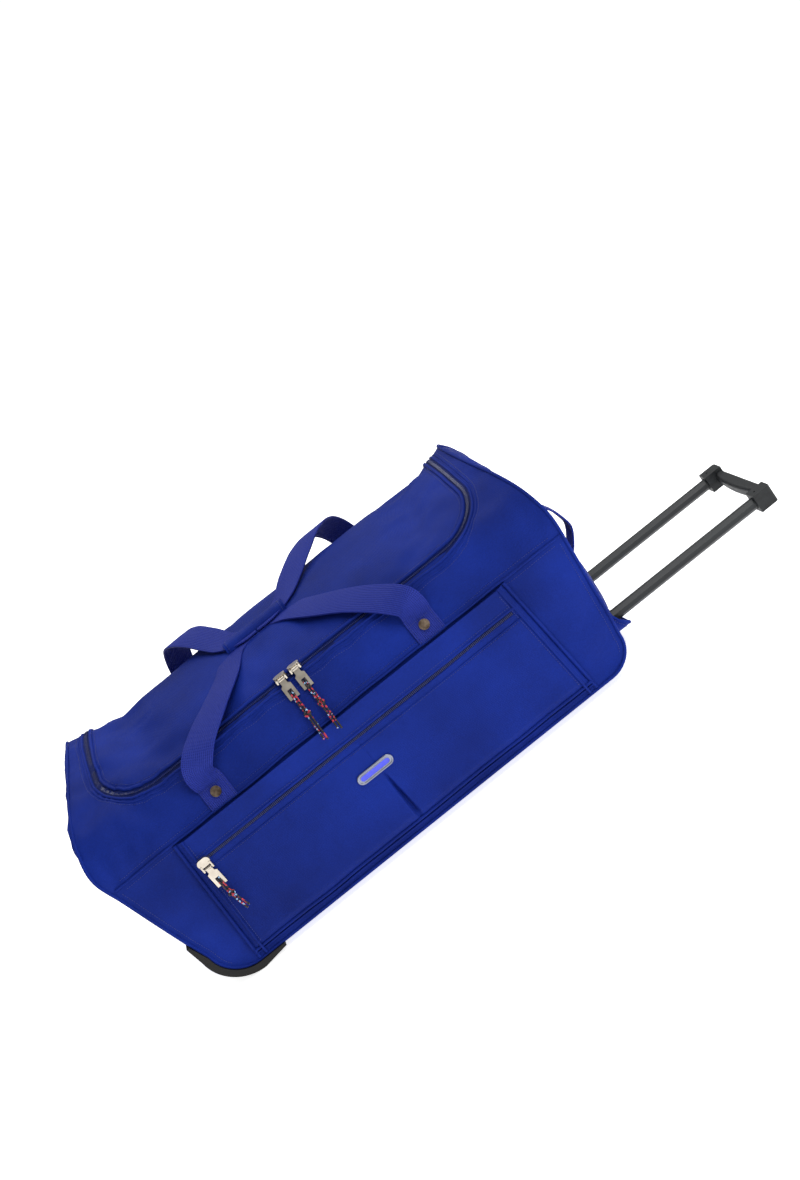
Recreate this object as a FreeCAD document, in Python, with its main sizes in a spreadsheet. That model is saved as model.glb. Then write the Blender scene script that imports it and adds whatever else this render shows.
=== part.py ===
import math
import os
import re

import FreeCAD
import Part
import Sketcher

# A soft wheeled duffel bag, standing level on its two wheels and two feet.
# +X runs from the wheels to the pull-out handle, -Y is the pocket side, +Z is up.
# Every piece is drawn about the middle of the bag and set back by centre_offset, which puts
# the origin on the floor under the middle of the bag with its handle out.

SIZES = {
    # fabric body
    "half_length": 343, "front_depth": 156, "back_depth": 165, "base_height": 12,
    "seam_height": 200, "back_seam_height": 215, "fabric": 1.6, "seam_gap": 0.2,
    "gusset_rise": 62, "gusset_run": 32, "roof_mid_run": 116, "roof_mid_rise": 22,
    "crest_run": 100, "crest_rise": 14, "back_edge_run": 47, "back_edge_drop": 2,
    "end_rise": 15, "end_lean": 10, "waist_height": 60, "waist_lean": 22, "heel_height": 110,
    "heel_lean": 31, "wheel_corner": 45, "handle_corner": 38, "handle_waist_lean": 9,
    "handle_heel_lean": 16, "base_board": 2.5, "board_margin": 6, "panel_relief": 3,
    # main opening
    "zip_end_margin": 53, "zip_inset": 6, "zip_width": 12, "zip_corner": 70,
    # front pocket
    "pocket_margin": 94, "pocket_flare": 14, "pocket_depth": 9, "pocket_floor": 27,
    "pocket_zip_height": 164, "pocket_slot": 12, "piping": 4,
    "badge_length": 52, "badge_height": 14, "badge_thick": 2.5, "badge_x": -8, "badge_z": 118,
    # webbing
    "webbing": 38, "webbing_thick": 2.4, "strap_gap": 0.5, "front_strap_left": -171,
    "front_strap_right": 147, "rear_strap": 150, "wrap_length": 94, "wrap_x": -20, "wrap_y": 2,
    "wrap_lift": 31, "wrap_height": 26, "wrap_depth": 26, "wrap_wall": 3, "grip_bar": 4,
    "rivet_head": 6.8, "rivet_head_thick": 2.5, "rivet_shank": 2, "rivet_hole_gap": 0.1,
    "grab_width": 30, "grab_low": 112, "grab_high": 214, "grab_stand": 27,
    # pull-out handle
    "tube_across": 15, "tube_wall": 1.2, "tube_height": 41, "tube_spacing": 154,
    "tube_gap": 0.25, "guide_gap": 1, "guide_wall": 1, "guide_mouth": 323,
    "guide_inner_end": -222, "tube_inner_end": 245, "grip_out": 258, "grip_block": 26,
    "grip_block_width": 23, "grip_block_height": 25, "grip_bar_height": 16, "grip_bar_depth": 12,
    "grip_bow": 6, "grip_socket": 16, "grip_pin": 1.5, "plug_thick": 6, "plug_stem": 20,
    "lip_half_width": 100, "lip_low": 22, "lip_high": 70, "lip_wall": 3, "lip_out": 8,
    "bezel_thick": 5, "bezel_margin": 2, "bracket_thick": 12,
    # wheels
    "wheel_radius": 31, "wheel_width": 24, "wheel_x": 290, "wheel_track": 244, "hub_radius": 20,
    "axle_radius": 3, "axle_gap": 0.05, "wheel_clearance": 3, "wheel_side_gap": 2,
    "housing_thick": 9.5, "housing_width": 73, "housing_out": 5, "housing_tip": 4, "cheek": 4,
    "housing_toe": 231,
    "housing_top": 85, "housing_gap": 1, "foot_radius": 17, "foot_x": 240, "foot_y": 110,
    # zip sliders
    "slider_length": 17, "slider_width": 11, "slider_height": 6, "slider_pair": 21,
    "slider_pair_x": -17, "slider_lift": 0.5, "ear": 2, "ear_gap": 11, "tab_eye": 8, "tab_length": 28,
    "tab_width": 14, "tab_thick": 2, "tab_hole": 6, "tab_hole_length": 9, "tab_pin": 1.2,
    "pocket_slider_x": -236, "cord_size": 2.6,
    "centre_offset": 129,
}
FAR = 2000
V = FreeCAD.Vector

doc = FreeCAD.newDocument("duffel")
sheet = doc.addObject("Spreadsheet::Sheet", "size")
for row, (alias, number) in enumerate(SIZES.items(), start=1):
    sheet.set("A%d" % row, alias)
    sheet.set("B%d" % row, str(number))
    sheet.setAlias("B%d" % row, alias)
doc.recompute()


def bound(expression):
    """The expression with each size's name pointing at its cell."""
    return re.sub(r"[a-z][a-z_]+", lambda m: "size." + m.group(0) if m.group(0) in SIZES
                  else m.group(0), str(expression))


def value(expression):
    """What an expression comes to now, in millimetres."""
    return float(sheet.evalExpression(bound(expression)))


# ---- drawing helpers ----

def arc_between(start, end, radius):
    """The short arc from start to end; a positive radius turns left."""
    (ax, ay), (bx, by) = start, end
    chord = math.hypot(bx - ax, by - ay)
    reach = math.sqrt(max(radius * radius - chord * chord / 4, 0))
    side = 1 if radius > 0 else -1
    cx = (ax + bx) / 2 - side * (by - ay) / chord * reach
    cy = (ay + by) / 2 + side * (bx - ax) / chord * reach
    angles = [math.atan2(ay - cy, ax - cx), math.atan2(by - cy, bx - cx)]
    if side < 0:
        angles.reverse()
    circle = Part.Circle(V(cx, cy, 0), V(0, 0, 1), abs(radius))
    return Part.ArcOfCircle(circle, *angles), side


def draw(sketch, points):
    """A closed outline. A point is (x, y), or (x, y, radius) where an arc leaves it."""
    places = [(value(p[0]), value(p[1])) for p in points]
    starts = []
    ends = []
    for i, point in enumerate(points):
        place = places[i]
        after = places[(i + 1) % len(points)]
        if len(point) == 3:
            curve, side = arc_between(place, after, value(point[2]))
            edge = sketch.addGeometry(curve)
            forward = side > 0
            radius = sketch.addConstraint(Sketcher.Constraint("Radius", edge, abs(value(point[2]))))
            sketch.setExpression("Constraints[%d]" % radius, "abs(%s)" % bound(point[2]))
        else:
            edge = sketch.addGeometry(Part.LineSegment(V(*place, 0), V(*after, 0)))
            forward = True
        starts.append((edge, 1 if forward else 2))
        ends.append((edge, 2 if forward else 1))
    for i, end in enumerate(ends):
        start = starts[(i + 1) % len(starts)]
        sketch.addConstraint(Sketcher.Constraint("Coincident", *end, *start))
    for point, place, start in zip(points, places, starts):
        for kind, text, number in (("DistanceX", point[0], place[0]), ("DistanceY", point[1], place[1])):
            held = sketch.addConstraint(Sketcher.Constraint(kind, -1, 1, *start, number))
            sketch.setExpression("Constraints[%d]" % held, bound(text))


def circle(sketch, x, y, radius):
    """One full circle."""
    edge = sketch.addGeometry(Part.Circle(V(value(x), value(y), 0), V(0, 0, 1), value(radius)))
    for text, constraint in (
        (x, Sketcher.Constraint("DistanceX", -1, 1, edge, 3, value(x))),
        (y, Sketcher.Constraint("DistanceY", -1, 1, edge, 3, value(y))),
        (radius, Sketcher.Constraint("Radius", edge, value(radius))),
    ):
        held = sketch.addConstraint(constraint)
        sketch.setExpression("Constraints[%d]" % held, bound(text))


def layer(body, kind, plane, low, high, outlines):
    """A Pad or Pocket between two heights along the plane's own axis."""
    sketch = body.newObject("Sketcher::SketchObject", "outline")
    origin_plane = [f for f in body.Origin.OriginFeatures if f.Role == plane][0]
    sketch.AttachmentSupport = [(origin_plane, "")]
    sketch.MapMode = "FlatFace"
    middle = "((%s) + (%s)) / 2" % (bound(low), bound(high))
    sign = "-" if plane == "XZ_Plane" else ""
    sketch.setExpression("AttachmentOffset.Base.z", sign + middle)
    for outline in outlines:
        if len(outline) == 3 and not isinstance(outline[0], tuple):
            circle(sketch, *outline)
        else:
            draw(sketch, outline)
    feature = body.newObject("PartDesign::" + kind, kind)
    feature.Profile = sketch
    feature.Midplane = True
    feature.setExpression("Length", "(%s) - (%s)" % (bound(high), bound(low)))
    return feature


def solid(name, plane, low, high, outlines):
    """A body that begins with one pad."""
    body = doc.addObject("PartDesign::Body", name)
    body.Label = name
    layer(body, "Pad", plane, low, high, outlines)
    doc.recompute()
    return body


def add(body, plane, low, high, outlines):
    layer(body, "Pad", plane, low, high, outlines)
    doc.recompute()


def cut(body, plane, low, high, outlines):
    """A pocket, which must take something away."""
    before = body.Shape.Volume
    layer(body, "Pocket", plane, low, high, outlines)
    doc.recompute()
    if not body.Shape.Volume < before - 0.01:
        raise RuntimeError("a pocket in %s cuts nothing" % body.Label)


def trim(body, plane, outline):
    """Keep only what lies inside the outline, seen along the plane's axis."""
    frame = rectangle(-FAR, FAR, -FAR, FAR)
    cut(body, plane, -FAR, FAR, [frame, outline])


def rectangle(x0, x1, y0, y1):
    return [(x0, y0), (x1, y0), (x1, y1), (x0, y1)]


def octagon(x, y, across):
    """A regular octagon standing on a flat side."""
    half = "(%s) / 2" % across
    flat = "(%s) / 2 * tan(22.5)" % across
    steps = [(half, "-" + flat), (half, flat), (flat, half), ("-" + flat, half),
             ("-" + half, flat), ("-" + half, "-" + flat), ("-" + flat, "-" + half), (flat, "-" + half)]
    return [("%s + %s" % (x, dx), "%s + %s" % (y, dy)) for dx, dy in steps]


def slot(x, y, length, height):
    """A bar with round ends."""
    radius = "(%s) / 2" % height
    left = "%s - (%s) / 2" % (x, length)
    right = "%s + (%s) / 2" % (x, length)
    low = "%s - %s" % (y, radius)
    high = "%s + %s" % (y, radius)
    return [(left + " + " + radius, low), (right + " - " + radius, low, radius),
            (right, y, radius), (right + " - " + radius, high),
            (left + " + " + radius, high, radius), (left, y, radius)]


def band(points, dx, dy):
    """A thin closed outline: the points, and the same points shifted, back again."""
    shifted = [("%s + (%s)" % (x, dx), "%s + (%s)" % (y, dy)) for x, y in reversed(points)]
    return list(points) + shifted


def soften(body, radius, test):
    """Round the edges of a body whose middle passes the test."""
    base = body.Tip
    names = []
    for index, edge in enumerate(base.Shape.Edges, start=1):
        middle = edge.valueAt((edge.FirstParameter + edge.LastParameter) / 2)
        if test(middle, edge):
            names.append("Edge%d" % index)
    fillet = body.newObject("PartDesign::Fillet", "Fillet")
    fillet.Base = (base, names)
    fillet.setExpression("Radius", bound(radius))
    doc.recompute()


def rod(name, axis, centre, radius, length):
    """A cylinder about a middle point, along x or a direction in the YZ plane."""
    pin = doc.addObject("Part::Cylinder", name)
    pin.setExpression("Radius", bound(radius))
    pin.setExpression("Height", bound(length))
    direction = V(1, 0, 0) if axis == "x" else axis
    pin.Placement = FreeCAD.Placement(V(), FreeCAD.Rotation(V(0, 0, 1), direction))
    for letter, start, along in zip("xyz", centre, direction):
        pin.setExpression("Placement.Base." + letter,
                          "%s - (%s) * %.6f / 2" % (bound(start), bound(length), along))
    doc.recompute()
    return pin


def join(kind, name, base, tool):
    """A Part::Cut or Part::Fuse of two objects."""
    result = doc.addObject("Part::" + kind, name)
    result.Base = base
    result.Tool = tool
    doc.recompute()
    return result


def drilled(name, base, tools):
    for index, tool in enumerate(tools):
        last = index == len(tools) - 1
        base = join("Cut", name if last else name + "_step", base, tool)
    return base


nodes = []


def keep(piece, name=None):
    """Name a finished piece and set it back along X."""
    piece.Label = name or piece.Label
    piece.setExpression("Placement.Base.x", "-size.centre_offset")
    nodes.append(piece)
    return piece


# ---- fabric body ----
# Two outlines make the body: the end view (YZ) of its roof, and the front view (XZ) of its ends.

FRONT = "-front_depth"
BACK = "back_depth"
FOLD_Y = "-front_depth + gusset_run"
FOLD_Z = "seam_height + gusset_rise"
ROOF = [
    (FRONT, "seam_height"),
    (FOLD_Y, FOLD_Z),
    ("-front_depth + roof_mid_run", FOLD_Z + " + roof_mid_rise"),
    ("-front_depth + roof_mid_run + crest_run",
     FOLD_Z + " + roof_mid_rise + crest_rise"),
    ("back_depth - back_edge_run",
     FOLD_Z + " + roof_mid_rise + crest_rise - back_edge_drop"),
    (BACK, "back_seam_height"),
]
END_TOP = "seam_height + gusset_rise + 60"
WHEEL_TOE = "-housing_toe - 4"
HANDLE_TOE = "half_length - handle_heel_lean - handle_corner - 4"


def wheel_end(inset, top, toe):
    """The bag's left edge in front view, from the top down to a point on the base."""
    return [
        ("-half_length + %s" % inset, top),
        ("-half_length + %s" % inset, "seam_height"),
        ("-half_length + end_lean + %s" % inset, "base_height + heel_height + 15"),
        ("-half_length + waist_lean + %s" % inset, "base_height + waist_height + 15"),
        ("-half_length + heel_lean + %s" % inset, "base_height + wheel_corner",
         "wheel_corner - %s" % inset),
        ("-half_length + heel_lean + wheel_corner", "base_height + %s" % inset),
        (toe, "base_height + %s" % inset),
    ]


def handle_end(inset, top, toe):
    """The bag's right edge in front view, from a point on the base up to the top."""
    return [
        (toe, "base_height + %s" % inset),
        ("half_length - handle_heel_lean - handle_corner", "base_height + %s" % inset,
         "handle_corner - %s" % inset),
        ("half_length - handle_heel_lean - %s" % inset, "base_height + handle_corner"),
        ("half_length - handle_waist_lean - %s" % inset, "base_height + heel_height - 15"),
        ("half_length - %s" % inset, "seam_height"),
        ("half_length - %s" % inset, top),
    ]


def turned_back(points):
    """The same open line run the other way, with its arcs on the right points."""
    result = []
    for i in range(len(points) - 1, -1, -1):
        if i and len(points[i - 1]) == 3:
            result.append((points[i][0], points[i][1], "-(%s)" % points[i - 1][2]))
        else:
            result.append((points[i][0], points[i][1]))
    return result


def face(inset, top):
    """Front view of a face panel that ends at a seam."""
    left = wheel_end(inset, top, "0")[:-1]
    right = handle_end(inset, top, "0")[1:]
    if top == "seam_height":
        left = left[1:]
        right = right[:-1]
    return left + right


front_panel = solid("front_panel", "XZ_Plane", FRONT, "-front_depth + fabric", [face("0", "seam_height")])
back_sheet = solid("back_sheet", "XZ_Plane", "back_depth - fabric", BACK, [face("0", "back_seam_height")])

BAND_FRONT = "-front_depth + fabric + seam_gap"
BAND_BACK = "back_depth - fabric - seam_gap"
END_OUTLINE = [
    (BAND_FRONT, "0"), (BAND_BACK, "0"), (BAND_BACK, "back_seam_height - seam_gap"),
    (ROOF[4][0] + " + 4", ROOF[4][1] + " + end_rise"),
    (ROOF[3][0], ROOF[3][1] + " + end_rise"),
    (ROOF[2][0], ROOF[2][1] + " + end_rise"),
    (ROOF[1][0], ROOF[1][1] + " + end_rise / 2"),
    (BAND_FRONT, "seam_height - seam_gap"),
]
wheel_line = wheel_end("0", END_TOP, WHEEL_TOE)
wheel_inner = wheel_end("fabric", END_TOP, WHEEL_TOE)
end_panel_wheel = solid("end_panel_wheel", "XZ_Plane", BAND_FRONT, BAND_BACK,
                        [wheel_line + turned_back(wheel_inner)])
trim(end_panel_wheel, "YZ_Plane", END_OUTLINE)
handle_line = handle_end("0", END_TOP, HANDLE_TOE)
handle_inner = handle_end("fabric", END_TOP, HANDLE_TOE)
end_panel_handle = solid("end_panel_handle", "XZ_Plane", BAND_FRONT, BAND_BACK,
                         [handle_line + turned_back(handle_inner)])
trim(end_panel_handle, "YZ_Plane", END_OUTLINE)


# The wheel wells open the foot of the wheel end.
WELL = "wheel_radius + wheel_clearance + 2.5"
WELL_HALF = "wheel_width / 2 + wheel_side_gap + cheek"
for side in ("-", ""):
    middle = side + "wheel_track / 2"
    cut(end_panel_wheel, "YZ_Plane", "-half_length", "-wheel_x + %s + 3" % WELL,
        [rectangle("%s - (%s) - panel_relief" % (middle, WELL_HALF),
                   "%s + %s + panel_relief" % (middle, WELL_HALF), "0", "base_height + waist_height")])
# The pull-out handle leaves through the handle end.
cut(end_panel_handle, "YZ_Plane", "0", "half_length + 1",
    [rectangle("-lip_half_width", "lip_half_width", "lip_low", "lip_high")])
keep(front_panel)
keep(end_panel_wheel)
keep(end_panel_handle)

base_panel = solid("base_panel", "XY_Plane", "base_height", "base_height + fabric",
                   [rectangle(WHEEL_TOE + " + seam_gap", HANDLE_TOE + " - seam_gap", BAND_FRONT, BAND_BACK)])
keep(base_panel)
BOARD_LOW = "base_height + fabric + seam_gap"
base_board = solid("base_board", "XY_Plane", BOARD_LOW, BOARD_LOW + " + base_board",
                   [rectangle(WHEEL_TOE + " + board_margin", HANDLE_TOE + " - board_margin",
                              BAND_FRONT + " + board_margin", BAND_BACK + " - board_margin")])
keep(base_board)

# The roof: steep front and back gussets, then the gently domed top that the zip divides.
INNER = "half_length - fabric - seam_gap"
TUCK = "(fabric + 2 * seam_gap)"
upper_front_sheet = solid("upper_front_sheet", "YZ_Plane", "-half_length + fabric + seam_gap", INNER, [band([
    (FRONT, "seam_height + seam_gap"),
    (FOLD_Y + " - %s * gusset_run / gusset_rise" % TUCK, FOLD_Z + " - " + TUCK),
], "fabric", "0")])
SLOPE = "back_edge_run / (%s - back_seam_height)" % ROOF[4][1]
roof_back_panel = solid("roof_back_panel", "YZ_Plane", "-half_length + fabric + seam_gap", INNER, [band([
    (ROOF[4][0] + " + %s * %s" % (TUCK, SLOPE), ROOF[4][1] + " - " + TUCK),
    (BACK, "back_seam_height + seam_gap"),
], "-fabric", "0")])
keep(roof_back_panel)


def domed(name, plan):
    """A piece of the top, cut to its plan outline."""
    body = solid(name, "YZ_Plane", "-half_length", "half_length", [band(ROOF[1:5], "0", "-fabric")])
    trim(body, "XY_Plane", plan)
    return keep(body)


# The zip's U in plan, from the end of one arm round to the end of the other.
def u_line(grow):
    reach = "half_length - zip_end_margin + %s" % grow
    front = "-(front_depth - gusset_run - zip_inset + %s)" % grow
    radius = "zip_corner + %s" % grow
    return [
        ("-(%s)" % reach, ARM_END), ("-(%s)" % reach, "%s + %s" % (front, radius), radius),
        ("-(%s) + %s" % (reach, radius), front), ("%s - (%s)" % (reach, radius), front, radius),
        (reach, "%s + %s" % (front, radius)), (reach, ARM_END),
    ]


ARM_END = "back_depth - back_edge_run - seam_gap"
domed("lid_panel", u_line("(0 - zip_width / 2 - seam_gap)"))
domed("main_zip", u_line("(zip_width / 2)") + turned_back(u_line("(0 - zip_width / 2)")))
REACH = "half_length - zip_end_margin + zip_width / 2 + seam_gap"
RIM = "zip_corner + zip_width / 2 + seam_gap"
RIM_FRONT = FOLD_Y + " + seam_gap"
RIM_MIDDLE = FOLD_Y + " - seam_gap + " + RIM
TIP = "20"
for name, side in (("shoulder_wheel", "-"), ("shoulder_handle", "")):
    outline = [
        (side + "(%s)" % INNER, ARM_END), (side + "(%s)" % INNER, RIM_FRONT),
        (side + "(%s - (%s) + %s)" % (REACH, RIM, TIP), RIM_FRONT),
        (side + "(%s - (%s) + %s)" % (REACH, RIM, TIP),
         "%s - sqrt((%s) * (%s) - %s * %s)" % (RIM_MIDDLE, RIM, RIM, TIP, TIP),
         "-(%s)" % RIM if side else RIM),
        (side + "(%s)" % REACH, RIM_MIDDLE),
        (side + "(%s)" % REACH, ARM_END),
    ]
    domed(name, outline)

# ---- trim along the seams ----
for name, low in (("piping_front", "-front_depth - piping - seam_gap"),
                  ("piping_back", "back_depth + seam_gap")):
    outer = face("0", "seam_height")
    inner = face("piping", "seam_height")
    ring = solid(name, "XZ_Plane", low, low + " + piping", [outer + turned_back(inner)])
    keep(ring)

# ---- front pocket ----
POCKET_TOP = "seam_height - seam_gap - 3"


def pocket_outline(grow):
    half = "half_length - pocket_margin + %s" % grow
    return [("-(%s)" % half, POCKET_TOP), ("-(%s) - pocket_flare" % half, "pocket_floor - %s" % grow),
            ("%s + pocket_flare" % half, "pocket_floor - %s" % grow), (half, POCKET_TOP)]


FACE = "-front_depth - pocket_depth"
pocket_panel = solid("pocket_panel", "XZ_Plane", FACE, "-front_depth - seam_gap", [pocket_outline("0")])
half = "(half_length - pocket_margin - fabric)"
cut(pocket_panel, "XZ_Plane", FACE + " + fabric", "-front_depth", [[
    ("-%s" % half, POCKET_TOP + " - fabric"), ("-%s - pocket_flare" % half, "pocket_floor + fabric"),
    ("%s + pocket_flare" % half, "pocket_floor + fabric"), (half, POCKET_TOP + " - fabric")]])
SLOT = "(half_length - pocket_margin - 8)"
cut(pocket_panel, "XZ_Plane", FACE + " - 1", FACE + " + fabric + 1",
    [rectangle("-" + SLOT, SLOT, "pocket_zip_height - pocket_slot / 2",
               "pocket_zip_height + pocket_slot / 2")])
keep(pocket_panel)
pocket_zip = solid("pocket_zip", "XZ_Plane", FACE, FACE + " + fabric",
                   [rectangle("-%s + seam_gap" % SLOT, SLOT + " - seam_gap",
                              "pocket_zip_height - pocket_slot / 2 + seam_gap",
                              "pocket_zip_height + pocket_slot / 2 - seam_gap")])
keep(pocket_zip)
pocket_piping = solid("pocket_piping", "XZ_Plane", "-front_depth - piping - seam_gap",
                      "-front_depth - seam_gap",
                      [pocket_outline("(seam_gap + piping)") + list(reversed(pocket_outline("seam_gap")))])
keep(pocket_piping)
badge = solid("badge", "XZ_Plane", FACE + " - seam_gap - badge_thick", FACE + " - seam_gap",
              [slot("badge_x", "badge_z", "badge_length", "badge_height")])
keep(badge)


# ---- webbing handles, their wrap and rivets ----
def strap(route):
    """A thin outline: each point is (y, z, share of the thickness along y, and along z)."""
    inner = [(y, z) for y, z, dy, dz in route]
    outer = [("%s + webbing_thick * (%s)" % (y, dy), "%s + webbing_thick * (%s)" % (z, dz))
             for y, z, dy, dz in reversed(route)]
    return inner + outer


def leg(name, route, foot, foot_y, end, end_y):
    """One slanting run of webbing, cut in plan from its foot to the wrap's end."""
    body = solid(name, "YZ_Plane", "-half_length", "half_length", [strap(route)])
    far = "%s + %s" % (foot_y, "60" if route is REAR_ROUTE else "-60")
    half = "webbing / 2"
    trim(body, "XY_Plane", [
        ("%s - %s" % (foot, half), far), ("%s + %s" % (foot, half), far),
        ("%s + %s" % (foot, half), foot_y), ("%s + %s" % (end, half), end_y),
        ("%s - %s" % (end, half), end_y), ("%s - %s" % (foot, half), foot_y),
    ])
    return body


BAR_Z = FOLD_Z + " + wrap_lift + wrap_wall + 0.5"
BAR_TALL = "wrap_height - 2 * wrap_wall - 1"
STRAP_Z = FOLD_Z + " + wrap_lift + wrap_height / 2"
GUSSET_Y = "-front_depth + (%s - seam_height) * gusset_run / gusset_rise - 1.2 * strap_gap"
PATCH_LOW = "(seam_height + 1)"
PATCH_TOP = "(seam_height + 28)"
FRONT_ROUTE = [
    (GUSSET_Y % PATCH_LOW, PATCH_LOW, -1, 0),
    (GUSSET_Y % PATCH_TOP, PATCH_TOP, -1, 0),
    (FOLD_Y + " - 36", FOLD_Z + " - 10", -1, 0.2),
    (FOLD_Y + " - 28", FOLD_Z + " + 16", -0.8, 0.6),
    (FOLD_Y + " + 6", FOLD_Z + " + 37", -0.4, 0.95),
    ("-front_depth + roof_mid_run - 20", FOLD_Z + " + 46", 0, 1),
    ("wrap_y - grip_bar", STRAP_Z, 0, 1),
]
REAR_ROUTE = [
    ("wrap_y + grip_bar", STRAP_Z, 0, 1),
    ("wrap_y + 30", FOLD_Z + " + 55", -0.3, 0.95),
    ("back_depth - 93", FOLD_Z + " + 71", -0.2, 1),
    ("back_depth - 53", FOLD_Z + " + 72", 0.3, 1),
    ("back_depth - 15", FOLD_Z + " + 50", 0.8, 0.6),
    ("back_depth + 7", "back_seam_height + 30", 1, 0),
    ("back_depth + strap_gap", "back_seam_height - 1", 1, 0),
    ("back_depth + strap_gap", "back_seam_height - 35", 1, 0),
]
NORMAL = V(0, -value("gusset_rise"), value("gusset_run")).normalize()
RIVET_Z = "(seam_height + 16)"


def rivet(name, x, y, z, direction, reach):
    """A domed head on a shank, with a flat washer inside; and the hole it wants."""
    def spot(along):
        return (x, "%s + %.6f * (%s)" % (y, direction.y, along), "%s + %.6f * (%s)" % (z, direction.z, along))
    outside = "strap_gap + webbing_thick + 0.4"
    head = rod(name + "_head", direction, spot(outside + " + rivet_head_thick / 2"), "rivet_head",
               "rivet_head_thick")
    shank = rod(name + "_shank", direction, spot("(%s - %s) / 2" % (outside, reach)), "rivet_shank",
                "%s + %s" % (outside, reach))
    washer = rod(name + "_washer", direction, spot("0 - %s - 0.5" % reach), "rivet_head", "1")
    keep(join("Fuse", name, join("Fuse", name + "_outer", head, shank), washer))
    return rod(name + "_hole", direction, spot("0"), "rivet_shank + rivet_hole_gap", "20")


front_tools = []
rear_tools = []
for number, x in enumerate(("front_strap_left", "front_strap_right"), start=1):
    y = "-front_depth + (%s - seam_height) * gusset_run / gusset_rise" % RIVET_Z
    front_tools.append(rivet("rivet_front_%d" % number, x, y, RIVET_Z, NORMAL, "(fabric + 0.6)"))
for number, x in enumerate(("-rear_strap", "rear_strap"), start=1):
    rear_tools.append(rivet("rivet_rear_%d" % number, x, BACK, "(back_seam_height - 16)",
                            V(0, 1, 0), "(fabric + 0.6)"))
keep(drilled("upper_front_panel", upper_front_sheet, front_tools))
keep(drilled("back_panel", back_sheet, rear_tools))

for name, route, feet, foot_y, side, tools in (
    ("carry_handle_front", FRONT_ROUTE, ("front_strap_left", "front_strap_right"), "-front_depth + 6",
     "-", front_tools),
    ("carry_handle_rear", REAR_ROUTE, ("-rear_strap", "rear_strap"), "back_depth - 6", "", rear_tools),
):
    inner_y = "wrap_y + %s2 * grip_bar" % (side or "+")
    low_y, high_y = (inner_y, "wrap_y - grip_bar") if side else ("wrap_y + grip_bar", inner_y)
    bar = solid(name + "_bar", "YZ_Plane", "wrap_x - wrap_length / 2 - 8", "wrap_x + wrap_length / 2 + 8",
                [rectangle(low_y, high_y, BAR_Z, "%s + %s" % (BAR_Z, BAR_TALL))])
    left_end = "wrap_x - wrap_length / 2 - 1 - webbing / 2"
    right_end = "wrap_x + wrap_length / 2 + 1 + webbing / 2"
    end_y = "wrap_y - grip_bar" if side else "wrap_y + grip_bar"
    left = leg(name + "_left", route, feet[0], foot_y, left_end, end_y)
    right = leg(name + "_right", route, feet[1], foot_y, right_end, end_y)
    loop = join("Fuse", name + "_loop", join("Fuse", name + "_half", bar, left), right)
    keep(drilled(name + "_drilled", loop, tools), name)

WRAP_Y = "wrap_y - wrap_depth / 2"
WRAP_Z = FOLD_Z + " + wrap_lift"
handle_wrap = solid("handle_wrap", "YZ_Plane", "wrap_x - wrap_length / 2", "wrap_x + wrap_length / 2", [
    rectangle(WRAP_Y, WRAP_Y + " + wrap_depth", WRAP_Z, WRAP_Z + " + wrap_height"),
    rectangle(WRAP_Y + " + wrap_wall", WRAP_Y + " + wrap_depth - wrap_wall",
              WRAP_Z + " + wrap_wall", WRAP_Z + " + wrap_height - wrap_wall")])
keep(handle_wrap)

grab_handle = solid("grab_handle", "XZ_Plane", "-grab_width / 2", "grab_width / 2", [band([
    ("half_length - handle_waist_lean + 1", "grab_low"),
    ("half_length - handle_waist_lean + 3.5", "grab_low + 12"),
    ("half_length + grab_stand - 6", "grab_low + 28"),
    ("half_length + grab_stand", "(grab_low + grab_high) / 2 + 2"),
    ("half_length + grab_stand - 2", "grab_high - 24"),
    ("half_length + 2.5", "grab_high - 11"),
    ("half_length + 1", "grab_high"),
], "webbing_thick", "0")])
keep(grab_handle)

# ---- pull-out handle and its guides ----
lip_half = "lip_half_width - seam_gap"
trolley_lip = solid("trolley_lip", "YZ_Plane", "guide_mouth - 16", "half_length + lip_out", [
    rectangle("-(%s)" % lip_half, lip_half, "lip_low + seam_gap", "lip_high - seam_gap"),
    rectangle("-(%s) + lip_wall" % lip_half, lip_half + " - lip_wall",
              "lip_low + seam_gap + lip_wall", "lip_high - seam_gap - lip_wall")])
keep(trolley_lip)
GUIDE = "(tube_across + 2 * guide_gap + 2 * guide_wall)"
TUBES = (("front", "-tube_spacing / 2"), ("rear", "tube_spacing / 2"))
TUBE_END = "half_length + grip_out - grip_block + grip_socket"
guide_bezel = solid("guide_bezel", "YZ_Plane", "guide_mouth + seam_gap", "guide_mouth + bezel_thick", [
    rectangle("-(%s) + lip_wall + bezel_margin" % lip_half, lip_half + " - lip_wall - bezel_margin",
              "lip_low + lip_wall + bezel_margin", "lip_high - lip_wall - bezel_margin"),
    octagon("-tube_spacing / 2", "tube_height", "(tube_across + 2 * tube_gap)"),
    octagon("tube_spacing / 2", "tube_height", "(tube_across + 2 * tube_gap)")])
keep(guide_bezel)
guide_bracket = solid("guide_bracket", "YZ_Plane", "guide_inner_end + 4",
                      "guide_inner_end + 4 + bracket_thick", [
    rectangle("-lip_half_width", "lip_half_width", BOARD_LOW + " + base_board + seam_gap",
              "tube_height + %s / 2 + 5" % GUIDE),
    octagon("-tube_spacing / 2", "tube_height", GUIDE + " + 2 * seam_gap"),
    octagon("tube_spacing / 2", "tube_height", GUIDE + " + 2 * seam_gap")])
keep(guide_bracket)
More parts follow.
